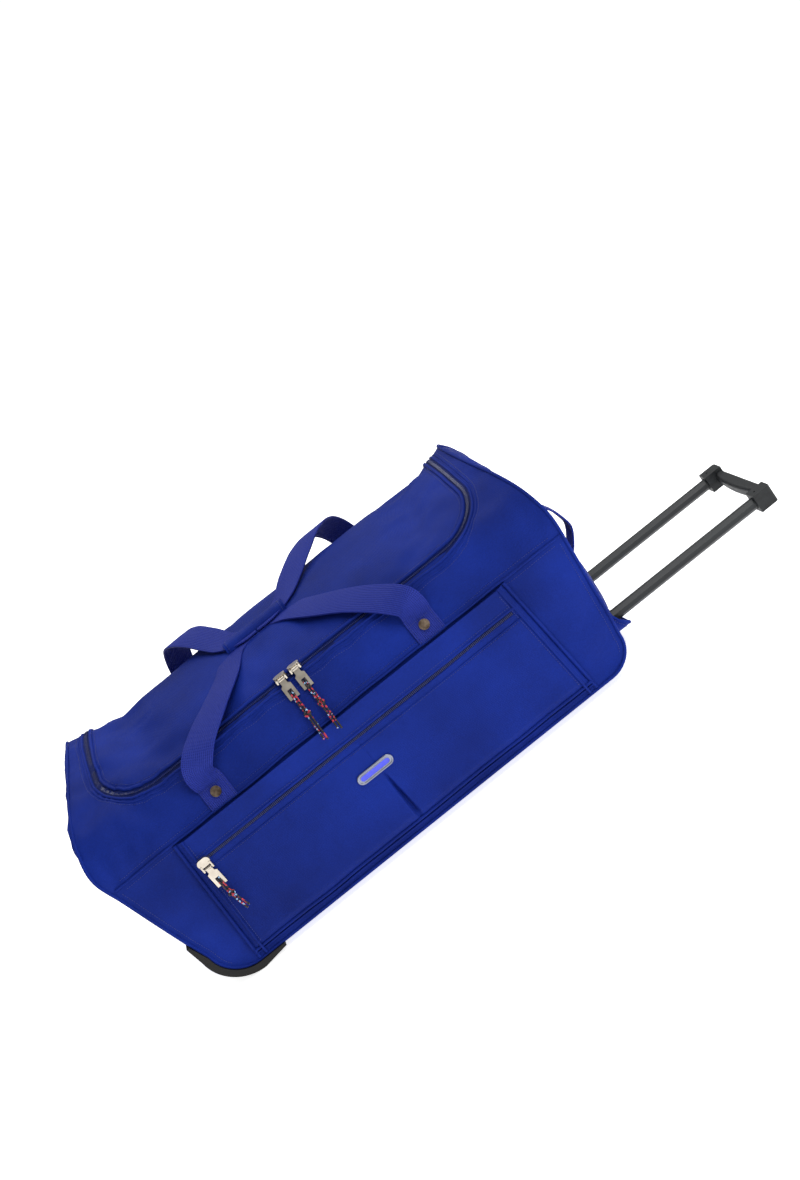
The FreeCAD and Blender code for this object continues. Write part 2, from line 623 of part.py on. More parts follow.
for name, y in TUBES:
    guide = solid("guide_tube_" + name, "YZ_Plane", "guide_inner_end", "guide_mouth", [
        octagon(y, "tube_height", GUIDE),
        octagon(y, "tube_height", "(tube_across + 2 * guide_gap)")])
    keep(guide)
    tube = solid("trolley_tube_" + name, "YZ_Plane", "tube_inner_end", TUBE_END + " - seam_gap", [
        octagon(y, "tube_height", "tube_across"),
        octagon(y, "tube_height", "(tube_across - 2 * tube_wall)")])
    cut(tube, "XY_Plane", "0", "tube_height + tube_across",
        [(TUBE_END + " - grip_socket / 2", y, "grip_pin + 0.03")])
    keep(tube)
    plug = solid("tube_plug_" + name, "YZ_Plane", "tube_inner_end - plug_thick",
                 "tube_inner_end - seam_gap",
                 [octagon(y, "tube_height", "(tube_across + 2 * guide_gap - 2 * tube_gap)")])
    add(plug, "YZ_Plane", "tube_inner_end - 1", "tube_inner_end + plug_stem",
        [octagon(y, "tube_height", "(tube_across - 2 * tube_wall - 2 * seam_gap)")])
    keep(plug)
    pin = solid("grip_pin_" + name, "XY_Plane", "tube_height - grip_block_height / 2 + 1",
                "tube_height + grip_block_height / 2 - 1",
                [(TUBE_END + " - grip_socket / 2", y, "grip_pin")])
    keep(pin)

GRIP_X = "half_length + grip_out"
half_bar = "(tube_spacing / 2 - grip_block_width / 2 + 3)"
trolley_grip = solid("trolley_grip", "XY_Plane", "tube_height - grip_bar_height / 2",
                     "tube_height + grip_bar_height / 2", [[
    (GRIP_X, "-" + half_bar), (GRIP_X, half_bar), (GRIP_X + " - grip_bar_depth", half_bar,
     "%s * %s / (2 * grip_bow) + grip_bow / 2" % (half_bar, half_bar)),
    (GRIP_X + " - grip_bar_depth", "-" + half_bar)]])
soften(trolley_grip, "grip_bar_height * 0.3", lambda middle, edge: edge.Length > 50)
for name, y in TUBES:
    add(trolley_grip, "XY_Plane", "tube_height - grip_block_height / 2",
        "tube_height + grip_block_height / 2",
        [rectangle(GRIP_X + " - grip_block", GRIP_X, "%s - grip_block_width / 2" % y,
                   "%s + grip_block_width / 2" % y)])
soften(trolley_grip, "4", lambda middle, edge: (
    abs(abs(middle.y) - value("tube_spacing / 2 + grip_block_width / 2")) < 0.1
    and abs(middle.x - value(GRIP_X)) < 0.1))
for name, y in TUBES:
    cut(trolley_grip, "YZ_Plane", GRIP_X + " - grip_block - 1", TUBE_END,
        [octagon(y, "tube_height", "(tube_across + 0.1)")])
    cut(trolley_grip, "XY_Plane", "tube_height - grip_block_height", "tube_height + grip_block_height",
        [(TUBE_END + " - grip_socket / 2", y, "grip_pin + 0.03")])
keep(trolley_grip)

# ---- wheels, corner housings and feet ----
CX = "-half_length + heel_lean + wheel_corner"
CZ = "base_height + wheel_corner"
IN = "(wheel_corner + housing_gap)"
OUT = "(wheel_corner + housing_gap + housing_thick)"
LEAN = ("(housing_top - base_height - wheel_corner) / (waist_height + 15 - wheel_corner)"
        " * (heel_lean - waist_lean)")
AXLE_HEAD = "min(axle_radius + 3; wheel_radius - base_height - 5.5)"
TOE_Z = CZ + " - %s - housing_tip" % IN
outer_edge = [(CX + " - %s - housing_tip - %s" % (IN, LEAN), "housing_top"), (CX + " - " + OUT, CZ, OUT),
              (CX, CZ + " - " + OUT), ("-housing_toe", TOE_Z)]
inner_edge = [("-housing_toe", CZ + " - " + IN), (CX, CZ + " - " + IN, "-" + IN), (CX + " - " + IN, CZ),
              (CX + " - %s - %s" % (IN, LEAN), "housing_top")]
for name, side, low in (
    ("front", "-", "-front_depth - housing_out"), ("rear", "", "back_depth + housing_out - housing_width"),
):
    y = side + "wheel_track / 2"
    housing = solid("wheel_housing_" + name, "XZ_Plane", low, low + " + housing_width",
                    [outer_edge + inner_edge])
    add(housing, "XZ_Plane", "%s - (%s)" % (y, WELL_HALF), "%s + %s" % (y, WELL_HALF),
        [("-wheel_x", "wheel_radius", WELL)])
    cut(housing, "XZ_Plane", low + " - 1", low + " + housing_width + 1", [
        [(CX + " - 200", "housing_top")] + outer_edge
        + [("-housing_toe + 90", TOE_Z), ("-housing_toe + 90", "-200"),
           (CX + " - 200", "-200")]])
    inside = "(wheel_width / 2 + wheel_side_gap)"
    cut(housing, "XZ_Plane", "%s - %s" % (y, inside), "%s + %s" % (y, inside),
        [("-wheel_x", "wheel_radius", "wheel_radius + wheel_clearance")])
    cut(housing, "XZ_Plane", "%s - (%s) - 1" % (y, WELL_HALF), "%s + %s + 1" % (y, WELL_HALF),
        [("-wheel_x", "wheel_radius", "axle_radius + axle_gap")])
    keep(housing)
    tyre = solid("tyre_" + name, "XZ_Plane", "%s - wheel_width / 2" % y, "%s + wheel_width / 2" % y,
                 [("-wheel_x", "wheel_radius", "wheel_radius"), ("-wheel_x", "wheel_radius", "hub_radius")])
    soften(tyre, "3", lambda middle, edge: edge.Length > value("wheel_radius") * 6)
    keep(tyre)
    hub = solid("hub_" + name, "XZ_Plane", "%s - wheel_width / 2" % y, "%s + wheel_width / 2" % y,
                [("-wheel_x", "wheel_radius", "hub_radius - 0.05"),
                 ("-wheel_x", "wheel_radius", "axle_radius + axle_gap")])
    for edge in ("-1", "1"):
        cut(hub, "XZ_Plane", "%s + (%s) * (wheel_width / 2 - 2) - 2" % (y, edge),
            "%s + (%s) * (wheel_width / 2 - 2) + 2" % (y, edge),
            [("-wheel_x", "wheel_radius", "hub_radius - 4"),
             ("-wheel_x", "wheel_radius", "axle_radius + 4")])
    keep(hub)
    axle = solid("axle_" + name, "XZ_Plane", "%s - (%s) - 2" % (y, WELL_HALF), "%s + %s + 2" % (y, WELL_HALF),
                 [("-wheel_x", "wheel_radius", "axle_radius")])
    add(axle, "XZ_Plane", "%s + %s + 0.1" % (y, WELL_HALF), "%s + %s + 2.1" % (y, WELL_HALF),
        [("-wheel_x", "wheel_radius", AXLE_HEAD)])
    keep(axle)
    foot = solid("foot_" + name, "XY_Plane", "0", "base_height - seam_gap",
                 [("foot_x", side + "foot_y", "foot_radius")])
    soften(foot, "3", lambda middle, edge: middle.z < 0.1)
    keep(foot)

# ---- zip sliders with their tabs ----
RUN = "gusset_run / sqrt(gusset_run * gusset_run + gusset_rise * gusset_rise)"
DROP = "gusset_rise / sqrt(gusset_run * gusset_run + gusset_rise * gusset_rise)"
ZIP_Y = FOLD_Y + " + zip_inset"
SLIDER_Z = FOLD_Z + (" + (zip_inset + slider_width / 2) * roof_mid_rise / (roof_mid_run - gusset_run)"
                     " + slider_lift")
MAIN_PIN = (ZIP_Y + " - slider_width / 2 - 3.5", SLIDER_Z + " + 2.5")
POCKET_PIN = (FACE + " - 5", "pocket_zip_height - slider_width / 2 - 3.5")


def ears(x, low, high):
    """The two cheeks that hold a tab's pin, in the plan of the slider's base."""
    return [rectangle("%s + (%s)" % (x, a), "%s + (%s)" % (x, b), low, high)
            for a, b in (("-ear_gap / 2 - ear", "-ear_gap / 2"), ("ear_gap / 2", "ear_gap / 2 + ear"))]


def finish_slider(body, x, pin):
    add(body, "YZ_Plane", x + " - ear_gap / 2 - ear / 2", x + " + ear_gap / 2 + ear / 2", [(*pin, "tab_pin")])
    keep(body)


def pull_tab(name, x, pin, run, drop):
    """A flat tab hanging from its pin, narrow at the eye, with a slot near its end."""
    y, z = pin
    half = "tab_thick / 2"
    end = ("%s - tab_length * %s" % (y, run), "%s - tab_length * %s" % (z, drop))
    plate = solid(name + "_plate", "YZ_Plane", x + " - tab_width / 2", x + " + tab_width / 2", [[
        ("%s - %s * %s" % (y, half, drop), "%s + %s * %s" % (z, half, run)),
        ("%s - %s * %s" % (end[0], half, drop), "%s + %s * %s" % (end[1], half, run)),
        ("%s + %s * %s" % (end[0], half, drop), "%s - %s * %s" % (end[1], half, run)),
        ("%s + %s * %s" % (y, half, drop), "%s - %s * %s" % (z, half, run))]])
    neck = "%s - 6" % z
    trim(plate, "XZ_Plane", [
        (x + " - tab_eye / 2", z), (x + " - tab_eye / 2", neck), (x + " - tab_width / 2", neck + " - 2"),
        (x + " - tab_width / 2", z + " - 60"), (x + " + tab_width / 2", z + " - 60"),
        (x + " + tab_width / 2", neck + " - 2"), (x + " + tab_eye / 2", neck), (x + " + tab_eye / 2", z)])
    low = "%s - (tab_length - 3) * %s" % (z, drop)
    cut(plate, "XZ_Plane", y + " - 40", y + " + 40",
        [rectangle(x + " - tab_hole / 2", x + " + tab_hole / 2", low, low + " + tab_hole_length")])
    eye = rod(name + "_eye", "x", (x, y, z), "tab_pin + 1.1", "tab_eye")
    hole = rod(name + "_hole", "x", (x, y, z), "tab_pin + 0.06", "tab_width * 2")
    keep(join("Cut", name + "_cut", join("Fuse", name + "_whole", plate, eye), hole), name)


LEFT_X = "(slider_pair_x - slider_pair / 2)"
RIGHT_X = "(slider_pair_x + slider_pair / 2)"
for name, x in (("left", LEFT_X), ("right", RIGHT_X)):
    slider = solid("slider_" + name, "XY_Plane", SLIDER_Z, SLIDER_Z + " + slider_height",
                   [slot(x, ZIP_Y, "slider_length", "slider_width")])
    add(slider, "XY_Plane", SLIDER_Z, SLIDER_Z + " + 5",
        ears(x, MAIN_PIN[0] + " - 2.2", ZIP_Y + " - slider_width / 2 + 3"))
    finish_slider(slider, x, MAIN_PIN)
    pull_tab("tab_" + name, x, MAIN_PIN, "(%s)" % RUN, "(%s)" % DROP)
POCKET_X = "pocket_slider_x"
slider = solid("slider_pocket", "XZ_Plane", FACE + " - slider_lift - slider_height", FACE + " - slider_lift",
               [slot(POCKET_X, "pocket_zip_height", "slider_length", "slider_width")])
add(slider, "XZ_Plane", FACE + " - 7.2", FACE + " - 2.5",
    ears(POCKET_X, POCKET_PIN[1] + " - 2.2", "pocket_zip_height - slider_width / 2 + 3"))
finish_slider(slider, POCKET_X, POCKET_PIN)
pull_tab("tab_pocket", POCKET_X, POCKET_PIN, "0", "1")


# ---- cords through the tabs ----
# Each pull is one cord folded through the tab's slot, so two strands hang side by side. A point
# is (sideways, along the tab from its pin, out from the tab's middle plane).
STRANDS = {
    "main": (
        [(-1.5, 17, 0.6), (-1.7, 25, 3.4), (-1.9, 41, 3.0), (-1.6, 57, 4.0), (-2.2, 73, 5.2),
         (-3.0, 88, 7.4)],
        [(1.5, 17, 0.6), (1.5, 25, 3.4), (1.2, 41, 2.8), (1.6, 57, 3.8), (1.1, 73, 5.0),
         (0.8, 91, 7.8)],
    ),
    "pocket": (
        [(-1.5, 17, 0.6), (-1.4, 25, 3.4), (-1.0, 37, 2.6), (0.4, 49, 3.2), (1.6, 60, 2.6), (3.4, 70, 3.0)],
        [(1.5, 17, 0.6), (1.8, 25, 3.4), (2.2, 37, 2.4), (3.6, 49, 3.0), (5.2, 60, 2.4), (7.4, 68, 2.8)],
    ),
}


def cord_tube(name, points, radius):
    """A round tube along straight runs joined by tangent arcs."""
    edges = []
    start = points[0]
    for before, corner, after in zip(points, points[1:], points[2:]):
        into = corner - before
        out = after - corner
        half_turn = into.getAngle(out) / 2
        back = 0.45 * min(into.Length, out.Length)
        print("%s arc radius %.1f mm" % (name, back / math.tan(half_turn)))
        first = corner - into.normalize() * back
        last = corner + out.normalize() * back
        bend = corner + (first + last - corner * 2).normalize() * (
            back / math.tan(half_turn) * (1 / math.cos(half_turn) - 1))
        edges.append(Part.LineSegment(start, first).toShape())
        edges.append(Part.Arc(first, bend, last).toShape())
        start = last
    edges.append(Part.LineSegment(start, points[-1]).toShape())
    path = Part.Wire(edges)
    ring = Part.Wire(Part.Circle(points[0], points[1] - points[0], radius).toShape())
    tube = path.makePipeShell([ring], True, False)
    expected = math.pi * radius * radius * path.Length
    if abs(tube.Volume - expected) > expected * 0.02:
        raise RuntimeError("%s has volume %.1f, not %.1f" % (name, tube.Volume, expected))
    piece = doc.addObject("Part::Feature", name)
    piece.Shape = tube
    return keep(piece)


def pull_cords(name, x, pin, run, drop, strands):
    middle = V(value(x), value(pin[0]), value(pin[1]))
    along = V(0, -value(run), -value(drop))
    out = V(0, -value(drop), value(run))
    for letter, strand in zip("ab", strands):
        points = [middle + V(side, 0, 0) + along * down + out * off for side, down, off in strand]
        cord_tube("pull_cord_%s_%s" % (name, letter), points, value("cord_size / 2"))


pull_cords("left", LEFT_X, MAIN_PIN, RUN, DROP, STRANDS["main"])
pull_cords("right", RIGHT_X, MAIN_PIN, RUN, DROP, STRANDS["main"])
pull_cords("pocket", POCKET_X, POCKET_PIN, "0", "1", STRANDS["pocket"])

# ---- check and write ----
doc.recompute()
for thing in doc.Objects:
    if "Invalid" in thing.State or "Error" in thing.State:
        raise RuntimeError("%s failed: %s" % (thing.Label, thing.State))
for piece in nodes:
    if piece.Shape.isNull() or not piece.Shape.isValid() or len(piece.Shape.Solids) != 1:
        raise RuntimeError("%s isn't one sound solid" % piece.Label)
os.makedirs("parts", exist_ok=True)
for piece in nodes:
    piece.Shape.exportStep("parts/%s.step" % piece.Label)
print("%d pieces" % len(nodes))
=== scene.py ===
import math

import bpy
from mathutils import Matrix, Vector, noise
from mathutils.bvhtree import BVHTree


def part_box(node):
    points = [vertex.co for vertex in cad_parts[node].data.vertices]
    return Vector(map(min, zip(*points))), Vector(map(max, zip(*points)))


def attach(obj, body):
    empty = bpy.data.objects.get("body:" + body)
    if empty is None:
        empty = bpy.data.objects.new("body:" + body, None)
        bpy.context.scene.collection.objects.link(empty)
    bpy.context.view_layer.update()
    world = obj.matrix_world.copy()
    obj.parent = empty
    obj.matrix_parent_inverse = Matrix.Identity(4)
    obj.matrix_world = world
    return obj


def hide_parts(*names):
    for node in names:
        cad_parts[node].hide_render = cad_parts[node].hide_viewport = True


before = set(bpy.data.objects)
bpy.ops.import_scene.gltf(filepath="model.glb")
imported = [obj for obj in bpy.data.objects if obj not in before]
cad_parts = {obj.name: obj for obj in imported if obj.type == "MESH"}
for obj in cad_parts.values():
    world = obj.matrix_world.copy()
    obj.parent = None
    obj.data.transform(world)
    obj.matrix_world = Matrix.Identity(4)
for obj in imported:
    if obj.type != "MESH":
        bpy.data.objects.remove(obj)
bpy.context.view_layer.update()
bpy.ops.object.select_all(action="DESELECT")

# ---- camera, floor and light ----
# The camera stands 20 degrees above the bag's long front and is rolled, so that the bag climbs
# to the right. The floor is a plain pale sheet under soft light from all round.
MM = 0.001
bag_low, bag_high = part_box("front_panel")
MIDDLE = (bag_low[0] + bag_high[0]) / 2


def at(x, y, z):
    """A point given in millimetres from the floor under the bag's middle."""
    return Vector((MIDDLE + x * MM, y * MM, z * MM))


ELEVATION = math.radians(20)
ROLL = math.radians(38.7)
DISTANCE = 2000
aim = at(110, 0, 136.5)
bpy.ops.object.camera_add()
camera = bpy.context.object
camera.name = "camera"
back = Vector((0, -math.cos(ELEVATION), math.sin(ELEVATION)))
level = Vector((1, 0, 0))
upright = back.cross(level)
right = level * math.cos(ROLL) - upright * math.sin(ROLL)
top = level * math.sin(ROLL) + upright * math.cos(ROLL)
eye = aim + back * DISTANCE * MM
camera.matrix_world = Matrix(((*right, 0), (*top, 0), (*back, 0), (*eye, 1))).transposed()
camera.data.lens = 46.85
camera.data.sensor_width = 36
camera.data.shift_x = -0.011
camera.data.shift_y = 0.0593
camera.data.clip_start = 0.05
bpy.context.scene.camera = camera

SKY_ON_BAG = 0.4
SKY_SEEN = 1.05
world = bpy.data.worlds.new("studio")
bpy.context.scene.world = world
world.use_nodes = True
sky = world.node_tree.nodes["Background"]
sky.inputs["Color"].default_value = (1, 1, 1, 1)
seen = world.node_tree.nodes.new("ShaderNodeLightPath")
strength = world.node_tree.nodes.new("ShaderNodeMapRange")
strength.inputs["To Min"].default_value = SKY_ON_BAG
strength.inputs["To Max"].default_value = SKY_SEEN
world.node_tree.links.new(seen.outputs["Is Camera Ray"], strength.inputs["Value"])
world.node_tree.links.new(strength.outputs["Result"], sky.inputs["Strength"])
bpy.context.scene.view_settings.view_transform = "Standard"


def linear(code):
    """An sRGB hex colour as the linear colour that shaders want."""
    parts = [int(code[i:i + 2], 16) / 255 for i in (1, 3, 5)]
    return [p / 12.92 if p <= 0.04045 else ((p + 0.055) / 1.055) ** 2.4 for p in parts] + [1]


def soft_light(name, place, size, watts):
    """A square studio lamp turned to the bag's middle."""
    bpy.ops.object.light_add(type="AREA", location=place)
    lamp = bpy.context.object
    lamp.name = name
    lamp.data.size = size
    lamp.data.energy = watts
    lamp.rotation_euler = (aim - Vector(place)).to_track_quat("-Z", "Y").to_euler()


soft_light("key_light", (1.0, -1.3, 2.6), 1.6, 40)
soft_light("fill_light", (1.9, -2.0, 1.2), 2.0, 12)
soft_light("back_light", (0.2, 1.4, 2.5), 2.0, 38)

bpy.ops.mesh.primitive_plane_add(size=12, location=(0, 0, 0))
floor = bpy.context.object
floor.name = "floor"


def add_node(tree, kind, settings=(), links=()):
    """One node: settings go to its inputs or its own properties, links name the node they come from."""
    node = tree.nodes.new(kind)
    for name, number in dict(settings).items():
        if isinstance(name, int) or name in node.inputs:
            node.inputs[name].default_value = number
        else:
            setattr(node, name, number)
    for name, source in dict(links).items():
        maker, output = source if isinstance(source, tuple) else (source, 0)
        tree.links.new(maker.outputs[output], node.inputs[name])
    return node


def new_material(name):
    """A material with its tree, its shader and Object coordinates ready."""
    material = bpy.data.materials.new(name)
    material.use_nodes = True
    tree = material.node_tree
    shader = tree.nodes["Principled BSDF"]
    place = add_node(tree, "ShaderNodeTexCoord")
    return material, tree, shader, place


def dress(thing, material):
    """The piece in one material."""
    thing.data.materials.clear()
    thing.data.materials.append(material)


paper, tree, shader, place = new_material("painted_studio_floor")
shader.inputs["Base Color"].default_value = linear("#ffffff")
shader.inputs["Roughness"].default_value = 0.9
shader.inputs["Emission Color"].default_value = linear("#ffffff")
shader.inputs["Emission Strength"].default_value = 0.8
dress(floor, paper)

# ---- cord pulls ----
# Each zip tab carries one accessory cord folded through its slot: a black braid with red and
# pale blue flecks, 2.6 mm thick, knotted half way down, its two cut ends melted and uneven.
# A main pull hangs down the slope beside the zip, 32 mm forwards for every 62 mm down.
CORD = 2.6
SLOPE = math.hypot(32, 62)
RUN = 32 / SLOPE
DROP = 62 / SLOPE
main_strands = (
    [(-1.5, 17, 0.6), (-1.7, 25, 3.4), (-1.9, 41, 3.0), (-1.6, 57, 4.0), (-2.2, 73, 5.2), (-3.0, 88, 7.4)],
    [(1.5, 17, 0.6), (1.5, 25, 3.4), (1.2, 41, 2.8), (1.6, 57, 3.8), (1.1, 73, 5.0), (0.8, 91, 7.8)],
)
pocket_strands = (
    [(-1.5, 17, 0.6), (-1.4, 25, 3.4), (-1.0, 37, 2.6), (0.4, 49, 3.2), (1.6, 60, 2.6), (3.4, 70, 3.0)],
    [(1.5, 17, 0.6), (1.8, 25, 3.4), (2.2, 37, 2.4), (3.6, 49, 3.0), (5.2, 60, 2.4), (7.4, 68, 2.8)],
)
pulls = (
    ("left", -27.5, -127, 268.012, RUN, DROP, main_strands),
    ("right", -6.5, -127, 268.012, RUN, DROP, main_strands),
    ("pocket", -236, -170, 155, 0, 1, pocket_strands),
)

braid, tree, shader, place = new_material("braided_nylon_cord")
flecks = add_node(tree, "ShaderNodeTexVoronoi", {"Scale": 420}, {"Vector": (place, "Object")})
shade = add_node(tree, "ShaderNodeSeparateColor", {}, {0: (flecks, "Color")})
yarns = add_node(tree, "ShaderNodeValToRGB", {}, {0: (shade, "Red")})
yarns.color_ramp.interpolation = "CONSTANT"
yarns.color_ramp.elements[0].color = linear("#17131c")
yarns.color_ramp.elements[1].position = 0.93
yarns.color_ramp.elements[1].color = linear("#8fb4d8")
red = yarns.color_ramp.elements.new(0.68)
red.color = linear("#b02a3c")
tree.links.new(yarns.outputs[0], shader.inputs["Base Color"])
ply = add_node(tree, "ShaderNodeBump", {"Strength": 0.6, "Distance": 0.0004},
               {"Height": (flecks, "Distance")})
tree.links.new(ply.outputs[0], shader.inputs["Normal"])
shader.inputs["Roughness"].default_value = 0.6


def smooth_line(name, points, radius, order=3):
    """A round cord whose line is a NURBS with these control points."""
    data = bpy.data.curves.new(name, "CURVE")
    data.dimensions = "3D"
    spline = data.splines.new("NURBS")
    spline.points.add(len(points) - 1)
    for point, spot in zip(spline.points, points):
        point.co = (*spot, 1)
    spline.order_u = order
    spline.use_endpoint_u = True
    spline.resolution_u = 8
    data.bevel_depth = radius * MM
    data.bevel_resolution = 3
    data.use_fill_caps = True
    line = bpy.data.objects.new(name, data)
    bpy.context.collection.objects.link(line)
    return line


for name, x, y, z, run, drop, strands in pulls:
    body = "pull_" + name
    for letter, strand in zip("ab", strands):
        points = [at(x + side, y - run * down - drop * off, z - drop * down + run * off)
                  for side, down, off in strand]
        cord = smooth_line("pull_cord_%s_%s_braid" % (name, letter), points, CORD / 2)
        dress(cord, braid)
        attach(cord, body)
        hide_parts("pull_cord_%s_%s" % (name, letter))

# ---- bag shell ----
# The sewn body: one band of polyester makes both ends and the bottom, and the front, back and
# top are sewn to it. It is cut as flat panels joined at their seams, then blown out softly from
# inside, with the seams held where they were sewn.
BASE = bag_low[2] / MM
SEAM = bag_high[2] / MM
FRONT = bag_low[1] / MM
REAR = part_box("back_panel")[1][1] / MM
REAR_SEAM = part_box("back_panel")[1][2] / MM


def through(points):
    """A smooth line through points, read at a share of its length from 0 to 1."""
    points = [Vector(p) for p in points]
    marks = [0]
    for a, b in zip(points, points[1:]):
        marks.append(marks[-1] + (b - a).length)

    def read(share):
        reach = min(max(share, 0), 1) * marks[-1]
        i = 0
        while i < len(points) - 2 and marks[i + 1] < reach:
            i += 1
        a, b = points[i], points[i + 1]
        before = points[max(i - 1, 0)]
        after = points[min(i + 2, len(points) - 1)]
        step = marks[i + 1] - marks[i]
        t = (reach - marks[i]) / step
        into = (b - before) / (marks[i + 1] - marks[max(i - 1, 0)]) * step
        out = (after - a) / (marks[min(i + 2, len(points) - 1)] - marks[i]) * step
        return (a * (2 * t ** 3 - 3 * t ** 2 + 1) + into * (t ** 3 - 2 * t ** 2 + t)
                + b * (3 * t ** 2 - 2 * t ** 3) + out * (t ** 3 - t ** 2))
    return read


def level_read(points):
    """How far along X an end stands at a height: points are (x, height), lowest first."""
    def read(height):
        for i in range(len(points) - 1):
            if height <= points[i + 1][1] or i == len(points) - 2:
                break
        (xa, za), (xb, zb) = points[i], points[i + 1]

        def slope(j):
            if j <= 0 or j >= len(points) - 1:
                return None
            return (points[j + 1][0] - points[j - 1][0]) / (points[j + 1][1] - points[j - 1][1])
        chord = (xb - xa) / (zb - za)
        first = slope(i)
        last = slope(i + 1)
        first = chord if first is None else first
        last = chord if last is None else last
        t = (height - za) / (zb - za)
        span = zb - za
        return (xa * (2 * t ** 3 - 3 * t ** 2 + 1) + first * span * (t ** 3 - 2 * t ** 2 + t)
                + xb * (3 * t ** 2 - 2 * t ** 3) + last * span * (t ** 3 - t ** 2))
    return read


wheel_side = level_read([(-312, 57), (-320, 88), (-331, 135), (-342, 185), (-352, 228), (-346, 262),
                         (-333, 290), (-316, 314)])
handle_side = level_read([(327, 50), (332, 90), (336, 135), (341, 185), (344, 228), (339, 262),
                          (328, 290), (313, 312)])


# The bottom corners: each one's radius, and the X of its middle.
WHEEL_CORNER = (45, -267)
HANDLE_CORNER = (38, 289)


def end_x(side, height):
    """The bag's outline at a height, at its wheel end (-1) or its handle end (1)."""
    radius, centre = WHEEL_CORNER if side < 0 else HANDLE_CORNER
    if height < BASE + radius:
        return centre + side * math.sqrt(max(radius ** 2 - (BASE + radius - height) ** 2, 0))
    return wheel_side(height) if side < 0 else handle_side(height)


end_front = through([(FRONT, SEAM), (-154, 222), (-141, 247), (-118, 272), (-82, 291), (-40, 302)])
end_crest = through([(-40, 302), (10, 309), (60, 313), (96, 313), (118, 309)])
end_back = through([(118, 309), (140, 284), (156, 250), (REAR, REAR_SEAM)])
roof_front = through([(FRONT, SEAM), (-148, 216), (-139, 235), (-124, 259), (-112, 265),
                      (-78, 274), (-40, 283)])
roof_crest = through([(-40, 283), (10, 292), (60, 297), (96, 297), (118, 293)])
roof_back = through([(118, 293), (139, 272), (155, 243), (REAR, REAR_SEAM)])
# Squares of cloth along the bag, up its sides, up to the crest, and across the crest.
LONG = 96
LOW = 26
RISE = 24
WIDE = 44


def low_height(v, wall):
    """Rows crowd together a little round the bottom corners."""
    turn = v ** 1.35
    return BASE + turn * ((SEAM if wall < 0 else REAR_SEAM) - BASE)


def top_profile(index, ends):
    """Where row number index of the top runs, in end view: at the ends or half way along."""
    if index <= RISE:
        return (end_front if ends else roof_front)(index / RISE)
    if index <= RISE + WIDE:
        return (end_crest if ends else roof_crest)((index - RISE) / WIDE)
    return (end_back if ends else roof_back)((index - RISE - WIDE) / RISE)


def long_wall(wall):
    """The front (-1) or back (1) panel."""
    def spot(u, v):
        height = low_height(v, wall)
        x = end_x(-1, height) * (1 - u) + end_x(1, height) * u
        return at(x, FRONT if wall < 0 else REAR, height)
    return spot


def end_low(side):
    """The lower part of an end panel, pushed out a little by the contents."""
    def spot(u, v):
        front = low_height(v, -1)
        rear = low_height(v, 1)
        full = (10 if side < 0 else 4) * math.sin(math.pi * u) ** 0.7
        full *= max(math.sin(math.pi * (front - 45) / 150), 0)
        spot = at(end_x(side, front), FRONT, front) * (1 - u) + at(end_x(side, rear), REAR, rear) * u
        return spot + Vector((side * full * MM, 0, 0))
    return spot


def end_high(side):
    """The upper part of an end panel, between its two ears."""
    def spot(u, v):
        row = round(v * RISE)
        a = top_profile(row, True)
        b = top_profile(2 * RISE + WIDE - row, True)
        crest = top_profile(RISE + round(u * WIDE), True)
        chord = top_profile(RISE, True) * (1 - u) + top_profile(RISE + WIDE, True) * u
        flat = a * (1 - u) + b * u + (crest - chord) * v ** 2
        return at(end_x(side, flat[1]), flat[0], flat[1])
    return spot


def top_sheet(u, v):
    """The whole top, from the front seam over the crest to the back seam."""
    row = round(v * (2 * RISE + WIDE))
    end = top_profile(row, True)
    middle = top_profile(row, False)
    raised = abs(2 * u - 1) ** 7
    spot = middle * (1 - raised) + end * raised
    x = end_x(-1, end[1]) * (1 - u) + end_x(1, end[1]) * u
    return at(x, spot[0], spot[1])


def bottom_sheet(u, v):
    """The flat bottom between the corners."""
    return at(end_x(-1, BASE) * (1 - u) + end_x(1, BASE) * u, FRONT * (1 - v) + REAR * v, BASE)


def cut_cloth(name, across, along, spot, flip=False):
    """A grid of cloth laid over a shape, its rim in the group of sewn points."""
    bpy.ops.mesh.primitive_grid_add(x_subdivisions=across, y_subdivisions=along, size=1)
    cloth = bpy.context.object
    cloth.name = name
    rim = []
    for vertex in cloth.data.vertices:
        u = vertex.co.x + 0.5
        v = vertex.co.y + 0.5
        if min(u, 1 - u, v, 1 - v) < 1e-4:
            rim.append(vertex.index)
        vertex.co = spot(u, v)
    if flip:
        cloth.data.flip_normals()
    cloth.vertex_groups.new(name="sewn").add(rim, 1, "REPLACE")
    return cloth


bottom = cut_cloth("bottom", LONG, WIDE, bottom_sheet, True)
shell_parts = [
    bottom,
    cut_cloth("front", LONG, LOW, long_wall(-1)),
    cut_cloth("rear", LONG, LOW, long_wall(1), True),
    cut_cloth("wheel_low", WIDE, LOW, end_low(-1), True),
    cut_cloth("handle_low", WIDE, LOW, end_low(1)),
    cut_cloth("wheel_high", WIDE, RISE, end_high(-1), True),
    cut_cloth("handle_high", WIDE, RISE, end_high(1)),
    cut_cloth("top", LONG, 2 * RISE + WIDE, top_sheet),
]
bpy.ops.object.select_all(action="DESELECT")
for part in shell_parts:
    part.select_set(True)
bpy.context.view_layer.objects.active = bottom
bpy.ops.object.join()
shell = bpy.context.object
shell.name = "bag_shell"
bpy.ops.object.mode_set(mode="EDIT")
bpy.ops.mesh.select_all(action="SELECT")
bpy.ops.mesh.remove_doubles(threshold=0.0004)
bpy.ops.mesh.normals_make_consistent(inside=False)
bpy.ops.object.mode_set(mode="OBJECT")

